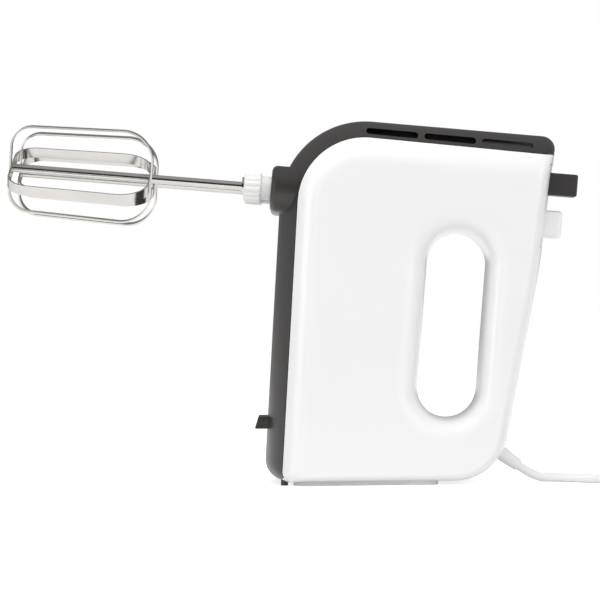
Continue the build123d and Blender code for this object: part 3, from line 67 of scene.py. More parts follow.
table_paint = bpy.data.materials.new("table paint")
table_paint.use_nodes = True
tree = table_paint.node_tree
tree.nodes.clear()
table_diffuse = tree.nodes.new("ShaderNodeBsdfDiffuse")
table_diffuse.inputs["Color"].default_value = TABLE_SHADE
table_light = tree.nodes.new("ShaderNodeEmission")
table_light.inputs["Color"].default_value = WHITE
table_rays = tree.nodes.new("ShaderNodeLightPath")
camera_or_mirror = tree.nodes.new("ShaderNodeMath")
camera_or_mirror.operation = "MAXIMUM"
glow = tree.nodes.new("ShaderNodeMapRange")
glow.inputs["To Min"].default_value = TABLE_LIGHT
glow.inputs["To Max"].default_value = TABLE_GLOW
table_sum = tree.nodes.new("ShaderNodeAddShader")
table_output = tree.nodes.new("ShaderNodeOutputMaterial")
link_nodes(
    tree,
    (table_rays.outputs["Is Camera Ray"], camera_or_mirror.inputs[0]),
    (table_rays.outputs["Is Glossy Ray"], camera_or_mirror.inputs[1]),
    (camera_or_mirror.outputs["Value"], glow.inputs["Value"]),
    (glow.outputs["Result"], table_light.inputs["Strength"]),
    (table_diffuse.outputs["BSDF"], table_sum.inputs[0]),
    (table_light.outputs["Emission"], table_sum.inputs[1]),
    (table_sum.outputs["Shader"], table_output.inputs["Surface"]),
)
table_mesh.materials.append(table_paint)

room = bpy.data.worlds.new("studio")
bpy.context.scene.world = room
room.use_nodes = True
tree = room.node_tree
tree.nodes.clear()
room_rays = tree.nodes.new("ShaderNodeLightPath")
room_seen = tree.nodes.new("ShaderNodeMath")
room_seen.operation = "MAXIMUM"
room_way = tree.nodes.new("ShaderNodeTexCoord")
room_front = tree.nodes.new("ShaderNodeVectorMath")
room_front.operation = "DOT_PRODUCT"
room_front.inputs[1].default_value = ROOM_FRONT
room_turn = tree.nodes.new("ShaderNodeMapRange")
room_turn.inputs["From Min"].default_value = -1.0
room_level = tree.nodes.new("ShaderNodeValToRGB")
room_level.color_ramp.interpolation = "EASE"
room_marks = room_level.color_ramp.elements
for turn, level in ROOM_LEVELS:
    room_marks.new(turn).color = (level, level, level, 1.0)
room_marks.remove(room_marks[0])
room_marks.remove(room_marks[-1])
room_strength = tree.nodes.new("ShaderNodeMapRange")
room_strength.inputs["To Max"].default_value = 1.0
room_light = tree.nodes.new("ShaderNodeBackground")
room_light.inputs["Color"].default_value = WHITE
room_output = tree.nodes.new("ShaderNodeOutputWorld")
link_nodes(
    tree,
    (room_rays.outputs["Is Camera Ray"], room_seen.inputs[0]),
    (room_rays.outputs["Is Transmission Ray"], room_seen.inputs[1]),
    (room_way.outputs["Generated"], room_front.inputs[0]),
    (room_front.outputs["Value"], room_turn.inputs["Value"]),
    (room_turn.outputs["Result"], room_level.inputs["Fac"]),
    (room_level.outputs["Color"], room_strength.inputs["To Min"]),
    (room_seen.outputs["Value"], room_strength.inputs["Value"]),
    (room_strength.outputs["Result"], room_light.inputs["Strength"]),
    (room_light.outputs["Background"], room_output.inputs["Surface"]),
)

SUBJECT = Vector((-0.02, 0.0, 0.10))
SOFT_LIGHTS = {
    "overhead": ((-0.10, -0.35, 1.30), 1.0, 9.6),
    "front left": ((-1.20, -1.05, 0.42), 0.8, 4.4),
    "front right": ((1.25, -0.95, 0.40), 0.8, 3.7),
    "low fill": ((-0.04, -1.20, 0.05), 0.5, 2.5),
}
for name, (place, size, power) in SOFT_LIGHTS.items():
    lamp = bpy.data.lights.new(name, "AREA")
    lamp.size = size
    lamp.energy = power
    lamp_object = bpy.data.objects.new(name, lamp)
    lamp_object.location = place
    lamp_object.visible_glossy = name.startswith("front")
    lamp_object.rotation_euler = (SUBJECT - Vector(place)).to_track_quat("-Z", "Y").to_euler()
    bpy.context.scene.collection.objects.link(lamp_object)

CAMERA_PLACE = Vector((-0.0364, -1.254, 0.0924))
CAMERA_AIM = Vector((-0.0364, 0.0, 0.1019))
CAMERA_FIELD = np.radians(15.3)
camera_data = bpy.data.cameras.new("camera")
camera_data.angle = CAMERA_FIELD
camera = bpy.data.objects.new("camera", camera_data)
camera.location = CAMERA_PLACE
camera.rotation_euler = (CAMERA_AIM - CAMERA_PLACE).to_track_quat("-Z", "Y").to_euler()
bpy.context.scene.collection.objects.link(camera)
bpy.context.scene.camera = camera
bpy.context.scene.view_settings.view_transform = "Standard"

# The mains cord: round white flex of 5 mm that leaves the strain relief, falls to the table and
# runs off to the right, where the rest of its length is wound in two layers and tied.
MM = 0.001
CORD_RADIUS = 2.5
CORD_EXIT = (86.2, 0.0, 9.0)
CORD_ROUTE = [
    (95.07, 0.0, 2.6),
    (106.0, -1.5, 2.6),
    (118.0, -6.5, 2.6),
    (131.0, -15.5, 2.6),
    (143.0, -24.0, 2.7),
    (153.0, -30.3, 3.1),
    (162.0, -33.0, 3.6),
]
COIL_START = (176.0, -33.0, 3.6)
COIL_WIDEST = 35.75
COIL_STEP = 2.75
COIL_RISE = 5.5
COIL_TIGHTENING = 6
COIL_WIDENING = 5
POINTS_PER_HALF_TURN = 8
CORD_TAIL = [(190.0, -33.0, 9.1), (212.0, -26.0, 7.0), (221.0, -26.0, 7.0)]
CORD_ROUNDNESS = 5
CORD_STEPS = 6
CORD_WHITE = (0.86, 0.86, 0.85)
GRAIN_DETAIL = 3.0
PATCH_DETAIL = 4.0
PATCH_RANGE = (0.3, 0.7)


def coil_half_turn(start, radius, way, rise):
    """Control points of half a turn: a half circle of angle a, with height rise (1 - cos a) / 2.

    The points stand out from the circle by the secant of half their spacing, where the spline touches it."""
    angle = (np.arange(POINTS_PER_HALF_TURN) + 0.5) * np.pi / POINTS_PER_HALF_TURN
    reach = radius / np.cos(0.5 * np.pi / POINTS_PER_HALF_TURN)
    across = start[0] + way * reach * np.sin(angle)
    along = start[1] + way * (radius - reach * np.cos(angle))
    height = start[2] + rise * (1 - np.cos(angle)) / 2
    return np.stack([across, along, height], axis=1)


coil_radii = COIL_WIDEST - COIL_STEP * np.arange(COIL_TIGHTENING + 1)
coil_radii = np.append(coil_radii, coil_radii[-1] + COIL_STEP * (1 + np.arange(COIL_WIDENING)))
coil_rises = np.where(np.arange(len(coil_radii)) == COIL_TIGHTENING, COIL_RISE, 0.0)
coil_points = []
turn_start = np.array(COIL_START)
for i, (radius, rise) in enumerate(zip(coil_radii, coil_rises)):
    way = 1 if i % 2 == 0 else -1
    coil_points.append(coil_half_turn(turn_start, radius, way, rise))
    turn_start = turn_start + np.array([0, 2 * way * radius, rise])
cord_points = np.concatenate([[CORD_EXIT], CORD_ROUTE, *coil_points, CORD_TAIL]) * MM

flex_curve = bpy.data.curves.new("mains_flex", "CURVE")
flex_curve.dimensions = "3D"
flex_curve.bevel_depth = 1.0
flex_curve.bevel_resolution = CORD_ROUNDNESS
flex_curve.resolution_u = CORD_STEPS
flex_curve.use_fill_caps = True
flex_line = flex_curve.splines.new("NURBS")
flex_line.points.add(len(cord_points) - 1)
flex_line.points.foreach_set("co", np.column_stack([cord_points, np.ones(len(cord_points))]).ravel())
flex_line.points.foreach_set("radius", np.full(len(cord_points), CORD_RADIUS * MM))
flex_line.order_u = 3
flex_line.use_endpoint_u = True
mains_flex = bpy.data.objects.new("mains_flex", flex_curve)
bpy.context.scene.collection.objects.link(mains_flex)
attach(mains_flex, "housing")
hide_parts("cord_free", "cord_coil", "cord_tail")


def moulded_grain():
    """Node group for moulded skins: fine noise as a height, slow noise that shifts roughness and shade.

    The shade is the colour brightened or darkened by Shade Change where the slow noise is high or low."""
    group = bpy.data.node_groups.new("moulded grain", "ShaderNodeTree")
    for name, kind in (
        ("Colour", "NodeSocketColor"),
        ("Shade Change", "NodeSocketFloat"),
        ("Grain Scale", "NodeSocketFloat"),
        ("Patch Scale", "NodeSocketFloat"),
        ("Roughness", "NodeSocketFloat"),
        ("Roughness Change", "NodeSocketFloat"),
    ):
        group.interface.new_socket(name, in_out="INPUT", socket_type=kind)
    for name, kind in (
        ("Colour", "NodeSocketColor"),
        ("Roughness", "NodeSocketFloat"),
        ("Height", "NodeSocketFloat"),
    ):
        group.interface.new_socket(name, in_out="OUTPUT", socket_type=kind)
    start = group.nodes.new("NodeGroupInput")
    end = group.nodes.new("NodeGroupOutput")
    place = group.nodes.new("ShaderNodeTexCoord")
    grain = group.nodes.new("ShaderNodeTexNoise")
    grain.inputs["Detail"].default_value = GRAIN_DETAIL
    patch = group.nodes.new("ShaderNodeTexNoise")
    patch.inputs["Detail"].default_value = PATCH_DETAIL
    signed = group.nodes.new("ShaderNodeMapRange")
    signed.inputs["From Min"].default_value = PATCH_RANGE[0]
    signed.inputs["From Max"].default_value = PATCH_RANGE[1]
    signed.inputs["To Min"].default_value = -1.0
    rough_shift = group.nodes.new("ShaderNodeMath")
    rough_shift.operation = "MULTIPLY_ADD"
    shade_shift = group.nodes.new("ShaderNodeMath")
    shade_shift.operation = "MULTIPLY_ADD"
    shade_shift.inputs[2].default_value = 1.0
    shade = group.nodes.new("ShaderNodeVectorMath")
    shade.operation = "SCALE"
    link_nodes(
        group,
        (place.outputs["Object"], grain.inputs["Vector"]),
        (place.outputs["Object"], patch.inputs["Vector"]),
        (start.outputs["Grain Scale"], grain.inputs["Scale"]),
        (start.outputs["Patch Scale"], patch.inputs["Scale"]),
        (patch.outputs["Fac"], signed.inputs["Value"]),
        (signed.outputs["Result"], rough_shift.inputs[0]),
        (start.outputs["Roughness Change"], rough_shift.inputs[1]),
        (start.outputs["Roughness"], rough_shift.inputs[2]),
        (signed.outputs["Result"], shade_shift.inputs[0]),
        (start.outputs["Shade Change"], shade_shift.inputs[1]),
        (start.outputs["Colour"], shade.inputs[0]),
        (shade_shift.outputs["Value"], shade.inputs["Scale"]),
        (shade.outputs["Vector"], end.inputs["Colour"]),
        (rough_shift.outputs["Value"], end.inputs["Roughness"]),
        (grain.outputs["Fac"], end.inputs["Height"]),
    )
    return group


grain_group = moulded_grain()


def finish_of(
    name, colour, roughness, grain, bump, patch=18.0, shade=0.02, spread=0.04, metallic=0.0, shine=0.5
):
    """Material with the moulded grain: grain and patch are per metre, bump is the grain's height."""
    paint = bpy.data.materials.new(name)
    paint.use_nodes = True
    tree = paint.node_tree
    shader = tree.nodes["Principled BSDF"]
    shader.inputs["Metallic"].default_value = metallic
    shader.inputs["Specular IOR Level"].default_value = shine
    surface = tree.nodes.new("ShaderNodeGroup")
    surface.node_tree = grain_group
    surface.inputs["Colour"].default_value = (*colour, 1.0)
    surface.inputs["Shade Change"].default_value = shade
    surface.inputs["Grain Scale"].default_value = grain
    surface.inputs["Patch Scale"].default_value = patch
    surface.inputs["Roughness"].default_value = roughness
    surface.inputs["Roughness Change"].default_value = spread
    relief = tree.nodes.new("ShaderNodeBump")
    relief.inputs["Distance"].default_value = bump
    link_nodes(
        tree,
        (surface.outputs["Colour"], shader.inputs["Base Color"]),
        (surface.outputs["Roughness"], shader.inputs["Roughness"]),
        (surface.outputs["Height"], relief.inputs["Height"]),
        (relief.outputs["Normal"], shader.inputs["Normal"]),
    )
    return paint


cord_jacket = finish_of("cord jacket", CORD_WHITE, roughness=0.42, grain=900.0, bump=0.00003, patch=30.0)
flex_curve.materials.append(cord_jacket)

# The white half shells: two gloss mouldings in white plastic that meet along the grip and the heel.
# Each is one crowned skin, dished towards the grip opening, open where the dark band and the
# control panel fit, and screwed to the other from the far side.
LINE_POINTS = np.array([(0.0, 2.2), (98.0, 121.5), (98.0, 121.5), (0.0, 202.25), (-56.5, 0.0)])
LINE_ANGLES = np.array([0.0, 79.55, 82.45, 175.21, 266.81])
LINE_INSET = np.array([3, 2, 2, 1, 0])
CORNER_RADII = np.array([30.0, 250.0, 7.5, 48.0, 10.5])
LEAST_RADIUS = 4.0
CROWN_WAY = np.array([0.0, 17.0, 34.7, 41.9, 50.1])
CROWN_SHARE = np.array([0.0, 0.42, 0.80, 0.93, 1.0])
CROWN_INSETS = np.array([
    (0.0, 0.0, 0.0, 0.0),
    (2.2, 2.6, 0.8, 0.0),
    (10.0, 11.2, 3.0, 0.2),
    (14.5, 16.5, 5.0, 1.2),
    (22.0, 25.0, 8.0, 4.0),
])
WIDTH_AT_ORIGIN = 38.8
WIDTH_TAPER = 0.188
BAND_WAY = 34.7
BAND_HEEL_X = -45.5
BAND_TAIL_Z = 182.6
PANEL_FOOT = 131.2
PANEL_TOP = 177.3
SEAM = 0.30
PARTING = 0.08
GRIP_FOOT = np.array([45.8, 53.2])
GRIP_TOP = np.array([51.2, 122.1])
GRIP_RADIUS = 16.9
DISH_REACH = 14.0
DISH_SHARE = np.array([1.0, 0.997, 0.985, 0.963, 0.93, 0.885, 0.82, 0.73, 0.60, 0.42, 0.21])
DISH_OFFSET = np.array([1.0, 0.86, 0.70, 0.55, 0.42, 0.31, 0.21, 0.125, 0.06, 0.02, 0.0])
DISH_MARGIN = 0.8
MIDDLE_ROWS = 17
UPPER_ROWS = 14
FLAT_ROWS = 10
DISH_ROWS = 31
STATION_STEPS = 401
BACK_LINE = (4.02, 4.985)
TAIL_CORNER = (4.8, 5.97)
TOE_CORNER = (9.02, 9.985)
SHELL_WALL = 2.2
SHARP_EDGE = 32.0
WHITE_GLOSS = (0.86, 0.86, 0.865)


def crown(way):
    """Share of the half width, and the insets from underside, top, back and heel, at a way up the crown.

    Both are cubics through the crown's five knots, level across the middle and flush with the flat side."""
    values = np.column_stack([CROWN_SHARE, CROWN_INSETS])
    slopes = np.gradient(values, CROWN_WAY, axis=0)
    slopes[0, 1:] = 0
    slopes[-1, 0] = 0
    span = np.clip(np.searchsorted(CROWN_WAY, way, side="right") - 1, 0, len(CROWN_WAY) - 2)
    length = np.diff(CROWN_WAY)[span][:, None]
    t = (way - CROWN_WAY[span])[:, None] / length
    leaving = values[span] * (1 + 2 * t) * (1 - t) ** 2 + slopes[span] * length * t * (1 - t) ** 2
    arriving = values[span + 1] * t**2 * (3 - 2 * t) + slopes[span + 1] * length * t**2 * (t - 1)
    return (leaving + arriving)[:, 0], (leaving + arriving)[:, 1:]


def side_outline(insets, places):
    """Points of the side outline at each row of insets and each column's place round it.

    Five straight lines, each moved inwards by its inset, are joined by arcs whose radius is the corner's own
    less the mean of the two insets. A place's whole part numbers the lines (even) and the arcs after them
    (odd), and its fraction is the way along that one."""
    angles = np.radians(LINE_ANGLES)
    ways = np.stack([np.cos(angles), np.sin(angles)], axis=1)
    inward = np.stack([-np.sin(angles), np.cos(angles)], axis=1)
    next_ways = np.roll(ways, -1, axis=0)
    line_insets = insets[:, LINE_INSET]
    starts = LINE_POINTS + inward * line_insets[..., None]
    gap = np.roll(starts, -1, axis=1) - starts
    cross = ways[:, 0] * next_ways[:, 1] - ways[:, 1] * next_ways[:, 0]
    along = (gap[..., 0] * next_ways[:, 1] - gap[..., 1] * next_ways[:, 0]) / cross
    corners = starts + ways * along[..., None]
    turn = np.radians((np.roll(LINE_ANGLES, -1) - LINE_ANGLES) % 360)
    radii = np.maximum(CORNER_RADII - (line_insets + np.roll(line_insets, -1, axis=1)) / 2, LEAST_RADIUS)
    reach = (radii * np.tan(turn / 2))[..., None]
    arc_start = corners - ways * reach
    line_start = np.roll(corners + next_ways * reach, 1, axis=1)
    centre = arc_start + inward * radii[..., None]
    places = np.broadcast_to(places, (len(insets), np.shape(places)[-1]))
    row = np.arange(len(insets))[:, None]
    line = places.astype(int) // 2
    share = (places % 1)[..., None]
    on_line = line_start[row, line] * (1 - share) + arc_start[row, line] * share
    bearing = angles[line] + turn[line] * share[..., 0]
    out = np.stack([np.sin(bearing), -np.cos(bearing)], axis=2)
    on_arc = centre[row, line] + radii[row, line][..., None] * out
    return np.where((places.astype(int) % 2 == 1)[..., None], on_arc, on_line)


def station(insets, span, axis, value):
    """Place within a span where each row's outline is nearest to a value of x (axis 0) or z (axis 1)."""
    steps = np.linspace(*span, STATION_STEPS)
    passes = side_outline(insets, steps)[..., axis]
    return steps[np.argmin(np.abs(passes - value), axis=1)]


def skin_places(rows, runs):
    """Places round the outline at each row, for runs of (start, end, count).

    A run's places are evenly spaced from its start to just before its end, and both may differ by row."""
    columns = []
    for start, end, count in runs:
        steps = np.arange(count) / count
        run = np.atleast_1d(start)[:, None] * (1 - steps) + np.atleast_1d(end)[:, None] * steps
        columns.append(np.broadcast_to(run, (rows, count)))
    return np.concatenate(columns, axis=1)


def grid_faces(rows, columns, closed):
    """Corner numbers of the faces of a grid of points, row by row, whose last column may join the first."""
    row = np.arange(rows - 1)[:, None, None]
    column = np.arange(columns if closed else columns - 1)[None, :, None]
    corner = np.array([(0, 0), (0, 1), (1, 1), (1, 0)])
    return (row + corner[:, 0]) * columns + (column + corner[:, 1]) % columns


def new_piece(name, points, faces, paint):
    """Mesh object from points in millimetres and an array of faces. Points that no face uses are left out."""
    used, corner = np.unique(faces, return_inverse=True)
    mesh = bpy.data.meshes.new(name)
    mesh.from_pydata(points.reshape(-1, 3)[used] * MM, [], corner.reshape(faces.shape).tolist())
    mesh.materials.append(paint)
    piece = bpy.data.objects.new(name, mesh)
    bpy.context.scene.collection.objects.link(piece)
    return piece


def settle(piece, sharp):
    """Applies a piece's modifiers, smooths it and marks edges that turn by more than an angle as sharp."""
    mesh = bpy.data.meshes.new_from_object(piece.evaluated_get(bpy.context.evaluated_depsgraph_get()))
    piece.modifiers.clear()
    piece.data = mesh
    mesh.shade_smooth()
    mesh.set_sharp_from_angle(angle=np.radians(sharp))


def thicken(piece, wall):
    """Gives a skin a wall on its inner side."""
    solid = piece.modifiers.new("wall", "SOLIDIFY")
    solid.thickness = wall * MM
    solid.offset = -1.0
    solid.use_quality_normals = True


middle_ways = np.linspace(PARTING, BAND_WAY + SEAM, MIDDLE_ROWS)
upper_ways = np.linspace(BAND_WAY + SEAM, CROWN_WAY[-1], UPPER_ROWS + 1)[1:]
shell_share, shell_insets = crown(np.concatenate([middle_ways, upper_ways]))
panel_foot = station(shell_insets, BACK_LINE, 1, PANEL_FOOT)
panel_top = station(shell_insets, BACK_LINE, 1, PANEL_TOP)
tail = station(shell_insets, TAIL_CORNER, 1, BAND_TAIL_Z - SEAM / 2)
band_heel = station(shell_insets, TOE_CORNER, 0, BAND_HEEL_X + SEAM)
shell_runs = [
    (0, 1, 30), (1, 2, 18), (2, 3, 28), (3, 4, 6), (4, panel_foot, 3), (panel_foot, panel_top, 16),
    (panel_top, tail, 6), (tail, 6, 14), (6, 7, 46), (7, 8, 36), (8, 9, 60), (9, band_heel, 10),
    (band_heel, 10, 8),
]
# The runs where the skin reaches the parting plane, and doesn't stop at the panel or the band.
closed_runs = np.array([True] * 5 + [False] + [True] + [False] * 5 + [True])
shell_places = skin_places(len(shell_insets), shell_runs)
shell_closed = np.repeat(closed_runs, [run[2] for run in shell_runs])
crown_points = side_outline(shell_insets, shell_places)

rim = crown_points[-1]
grip_line = GRIP_TOP - GRIP_FOOT
along_grip = np.clip((rim - GRIP_FOOT) @ grip_line / (grip_line @ grip_line), 0, 1)
grip_centre = GRIP_FOOT + along_grip[:, None] * grip_line
away = rim - grip_centre
room_round = np.linalg.norm(away, axis=1)
away = away / room_round[:, None]
dish_reach = np.minimum(DISH_REACH, room_round - GRIP_RADIUS - DISH_MARGIN)
flat_steps = np.linspace(0, 1, FLAT_ROWS + 2)[1:-1, None, None]
flat_points = rim * (1 - flat_steps) + (grip_centre + away * (GRIP_RADIUS + dish_reach)[:, None]) * flat_steps
dish_steps = np.linspace(0, 1, DISH_ROWS)
dish_knots = np.linspace(0, 1, len(DISH_SHARE))
dish_offset = np.interp(dish_steps, dish_knots, DISH_OFFSET)
dish_share = np.append(np.interp(dish_steps, dish_knots, DISH_SHARE), 0.0)
dish_offset = np.append(dish_offset, 0.0)[:, None, None]
dish_points = grip_centre + away * (GRIP_RADIUS + dish_reach[:, None] * dish_offset)
skin = np.concatenate([crown_points, flat_points, dish_points])
skin_share = np.concatenate([shell_share, np.ones(len(flat_points)), dish_share])
skin_side = skin_share[:, None] * (WIDTH_AT_ORIGIN - WIDTH_TAPER * skin[..., 0])
skin_side[-1] = PARTING
skin_faces = grid_faces(len(skin), shell_places.shape[1], True)
skin_faces = np.concatenate([skin_faces[:len(middle_ways) - 1, shell_closed].reshape(-1, 4),
                             skin_faces[len(middle_ways) - 1:].reshape(-1, 4)])

white_gloss = finish_of(
    "white gloss", WHITE_GLOSS, roughness=0.24, grain=700.0, bump=0.000012, shade=0.008, spread=0.03
)
for name, side in (("near", -1), ("far", 1)):
    points = np.stack([skin[..., 0], side * skin_side, skin[..., 1]], axis=2)
    shell = new_piece(f"shell_{name}", points, skin_faces if side < 0 else skin_faces[:, ::-1], white_gloss)
    thicken(shell, SHELL_WALL)
    settle(shell, SHARP_EDGE)
    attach(shell, "housing")
    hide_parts(f"housing_{name}")

# The screw wells: four cups moulded into the far shell, with a screw at the bottom of each. Each
# cup's mouth follows the shell's skin, and its floor has the screw's hole.
WELL_PLACES = np.array([(-31.0, 36.0), (34.0, 12.5), (81.0, 95.0), (21.0, 126.0)])
WELL_RADIUS = 3.3
WELL_HOLE = 1.6
WELL_FLOOR = 10.0
WELL_WALL = 1.2
WELL_EASE = 0.02
WELL_CORNERS = 40
CUT_REACH = 60.0


def prism(outline, low, high, first):
    """Points and faces of a closed prism: an outline in x and z, carried along y from low to high.

    The faces number these points from first on."""
    count = len(outline)
    points = np.concatenate([np.insert(outline, 1, low, axis=1), np.insert(outline, 1, high, axis=1)])
    near = np.arange(count) + first
    far = near + count
    sides = np.stack([near, far, np.roll(far, -1), np.roll(near, -1)], axis=1)
    return points, [*sides.tolist(), near.tolist(), far[::-1].tolist()]


def cut_out(piece, outlines, low, high):
    """Cuts prisms out of a piece, all of one length along y, and smooths what is left."""
    cutter_points = []
    cutter_faces = []
    for outline in outlines:
        points, faces = prism(outline, low, high, sum(len(done) for done in cutter_points))
        cutter_points.append(points)
        cutter_faces.extend(faces)
    mesh = bpy.data.meshes.new("cutter")
    mesh.from_pydata(np.concatenate(cutter_points) * MM, [], cutter_faces)
    cutter = bpy.data.objects.new("cutter", mesh)
    bpy.context.scene.collection.objects.link(cutter)
    cut = piece.modifiers.new("cut", "BOOLEAN")
    cut.object = cutter
    cut.operation = "DIFFERENCE"
    cut.solver = "EXACT"
    settle(piece, SHARP_EDGE)
    bpy.data.objects.remove(cutter)


far_shell = bpy.data.objects["shell_far"]
well_turn = np.linspace(0, 2 * np.pi, WELL_CORNERS, endpoint=False)
well_circle = np.stack([np.cos(well_turn), np.sin(well_turn)], axis=1)
well_mouths = [place + (WELL_RADIUS + WELL_EASE) * well_circle for place in WELL_PLACES]
cut_out(far_shell, well_mouths, WELL_FLOOR, CUT_REACH)
WELL_PROFILE = np.array([
    (WELL_HOLE, 0.0), (WELL_RADIUS, 0.0), (WELL_RADIUS, 1.0),
    (WELL_RADIUS + WELL_WALL, 1.0), (WELL_RADIUS + WELL_WALL, 0.0), (WELL_HOLE, 0.0),
])
well_drop = np.array([0.0, 0.0, 0.0, 0.0, -WELL_WALL, -WELL_WALL])
well_points = []
for place in WELL_PLACES:
    mouth = WIDTH_AT_ORIGIN - WIDTH_TAPER * place[0] - SHELL_WALL / 2
    rings = place + WELL_PROFILE[:, :1, None] * well_circle
    depth = WELL_FLOOR + WELL_PROFILE[:, 1] * (mouth - WELL_FLOOR) + well_drop
    depth = np.broadcast_to(depth[:, None], rings.shape[:2])
    well_points.append(np.stack([rings[..., 0], depth, rings[..., 1]], axis=2))
well_size = len(WELL_PROFILE) * WELL_CORNERS
well_grid = grid_faces(len(WELL_PROFILE) + 1, WELL_CORNERS, True).reshape(-1, 4) % well_size
well_faces = np.concatenate([well_grid + number * well_size for number in range(len(WELL_PLACES))])
screw_wells = new_piece("screw_wells", np.concatenate(well_points), well_faces, white_gloss)
settle(screw_wells, SHARP_EDGE)
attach(screw_wells, "housing")

# The dark band: a satin grey moulding that fills the gap between the shells from the heel up the
# underside, round the nose and along the top, with two open vents each side and a third that is blind.
VENT_PLACES = np.array([14.5, 46.7, 78.9])
VENT_LENGTH = 29.0
VENT_WIDTH = 3.9
VENT_DEPTH = 7.3
VENT_TILT = np.radians(4.79)
VENT_INNER = 12.0
VENT_CORNERS = 24
BAND_COLUMNS = 71
DARK_SATIN = (0.028, 0.0252, 0.0238)


def vent_outline(x):
    """Outline of a vent slot: a stadium with its long axis along the top of the body."""
    turn = np.linspace(-np.pi / 2, 3 * np.pi / 2, VENT_CORNERS + 1)[:-1]
    end = np.where(np.arange(VENT_CORNERS) <= VENT_CORNERS // 2, 1, -1) * (VENT_LENGTH - VENT_WIDTH) / 2
    along = end + np.cos(turn) * VENT_WIDTH / 2
    rise = np.sin(turn) * VENT_WIDTH / 2
    centre = LINE_POINTS[3, 1] - x * np.tan(VENT_TILT) - VENT_DEPTH
    return np.stack([
        x + along * np.cos(VENT_TILT) + rise * np.sin(VENT_TILT),
        centre - along * np.sin(VENT_TILT) + rise * np.cos(VENT_TILT),
    ], axis=1)


def band_skin(ways, places, depth):
    """Skin of the band at ways across it (far ones positive) and places round it, moved in by a depth."""
    share, insets = crown(np.abs(ways))
    flat = side_outline(insets + depth, places)
    side = (np.sign(ways) * share)[:, None] * (WIDTH_AT_ORIGIN - depth - WIDTH_TAPER * flat[..., 0])
    return np.stack([flat[..., 0], side, flat[..., 1]], axis=2)


band_ways = np.linspace(-BAND_WAY + SEAM, BAND_WAY - SEAM, BAND_COLUMNS)
band_insets = crown(np.abs(band_ways))[1]
band_tail = station(band_insets, TAIL_CORNER, 1, BAND_TAIL_Z + SEAM / 2)
band_end = station(band_insets, TOE_CORNER, 0, BAND_HEEL_X - SEAM / 2)
band_runs = [(band_tail, 6, 16), (6, 7, 60), (7, 8, 44), (8, 9, 60), (9, band_end, 11)]
band_points = band_skin(band_ways, skin_places(len(band_ways), band_runs), 0.0)
band_faces = grid_faces(*band_points.shape[:2], False).reshape(-1, 4)
dark_satin = finish_of(
    "dark satin", DARK_SATIN, roughness=0.38, grain=1500.0, bump=0.00004, shade=0.03, spread=0.05, shine=0.45
)
dark_band = new_piece("dark_band", band_points, band_faces[:, ::-1], dark_satin)
thicken(dark_band, SHELL_WALL)
settle(dark_band, SHARP_EDGE)
vent_outlines = [vent_outline(x) for x in VENT_PLACES]
cut_out(dark_band, vent_outlines, -CUT_REACH, -VENT_INNER)
cut_out(dark_band, vent_outlines, VENT_INNER, CUT_REACH)
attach(dark_band, "housing")
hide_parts("front_band")

# A dark satin sheet, shaped as a rib, hangs from the top of the band along its middle, between the vents of
# the two sides. It is painted shade: a dark sheet put behind the open vents that stands in for the shadow
# inside the body and makes them black, and it closes the view through them.
STOP_DEPTHS = np.array([2.0, 15.0])
STOP_WALL = 1.6
STOP_RUNS = [(5.6, 6, 4), (6, 7, 30), (7, 7.2, 8)]
stop_insets = np.repeat(STOP_DEPTHS[:, None], CROWN_INSETS.shape[1], axis=1)
stop_flat = side_outline(stop_insets, skin_places(len(STOP_DEPTHS), STOP_RUNS))
stop_points = np.insert(stop_flat, 1, STOP_WALL / 2, axis=2)
stop_faces = grid_faces(*stop_flat.shape[:2], False).reshape(-1, 4)
vent_shade_sheet = new_piece("vent_shade_sheet", stop_points, stop_faces[:, ::-1], dark_satin)
thicken(vent_shade_sheet, STOP_WALL)
settle(vent_shade_sheet, SHARP_EDGE)
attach(vent_shade_sheet, "housing")

# The blind vents' floors: dark satin plates moulded in one with the band, behind the third slot on
# each side, which has no opening. Each is the band's skin moved a little further in.
FLOOR_DEPTH = 1.2
FLOOR_WALL = 0.6
FLOOR_WAYS = np.linspace(20.0, 34.0, 15)
FLOOR_RUNS = [(6, 6.40, 24)]
for name, side in (("near", -1), ("far", 1)):
    floor_points = band_skin(side * FLOOR_WAYS, skin_places(len(FLOOR_WAYS), FLOOR_RUNS), FLOOR_DEPTH)
    floor_faces = grid_faces(*floor_points.shape[:2], False).reshape(-1, 4)
    vent_floor = new_piece(f"vent_floor_{name}", floor_points, floor_faces[:, ::-side], dark_satin)
    thicken(vent_floor, FLOOR_WALL)
    settle(vent_floor, SHARP_EDGE)
    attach(vent_floor, "housing")

# The collar, the ledge bar and the heel nubs: dark satin mouldings set on the band. The collar
# carries the beater sockets, and the bar rests on a bowl's rim.


def repaint(paint, *nodes):
    """Gives pieces of the frame a finish in place of their plain one."""
    for node in nodes:
        node_mesh = frame["nodes"][node].data
        node_mesh.materials.clear()
        node_mesh.materials.append(paint)


repaint(dark_satin, "socket_collar", "ledge_bar", "heel_nubs")

# The controls: a gloss white panel clipped between the shells at the back, a dark slide knob with a
# fine moulded grain, and a white push button that moves in its own hole.
KNOB_SATIN = (0.030, 0.028, 0.0275)
BUTTON_WHITE = (0.87, 0.87, 0.865)
knob_satin = finish_of(
    "knob satin", KNOB_SATIN, roughness=0.5, grain=1800.0, bump=0.00005, shade=0.03, spread=0.05, shine=0.35
)
button_white = finish_of("button white", BUTTON_WHITE, roughness=0.34, grain=900.0, bump=0.00002, shade=0.01)
repaint(white_gloss, "control_panel")
repaint(knob_satin, "selector_knob")
repaint(button_white, "turbo_button")

# The heel pad: a white rubber plate pressed onto the flat of the heel, which the mixer stands on
# between uses. It has a dull moulded skin.
FOOT_WHITE = (0.93, 0.93, 0.93)
foot_rubber = finish_of("foot rubber", FOOT_WHITE, roughness=0.55, grain=1200.0, bump=0.00006)
repaint(foot_rubber, "heel_pad")

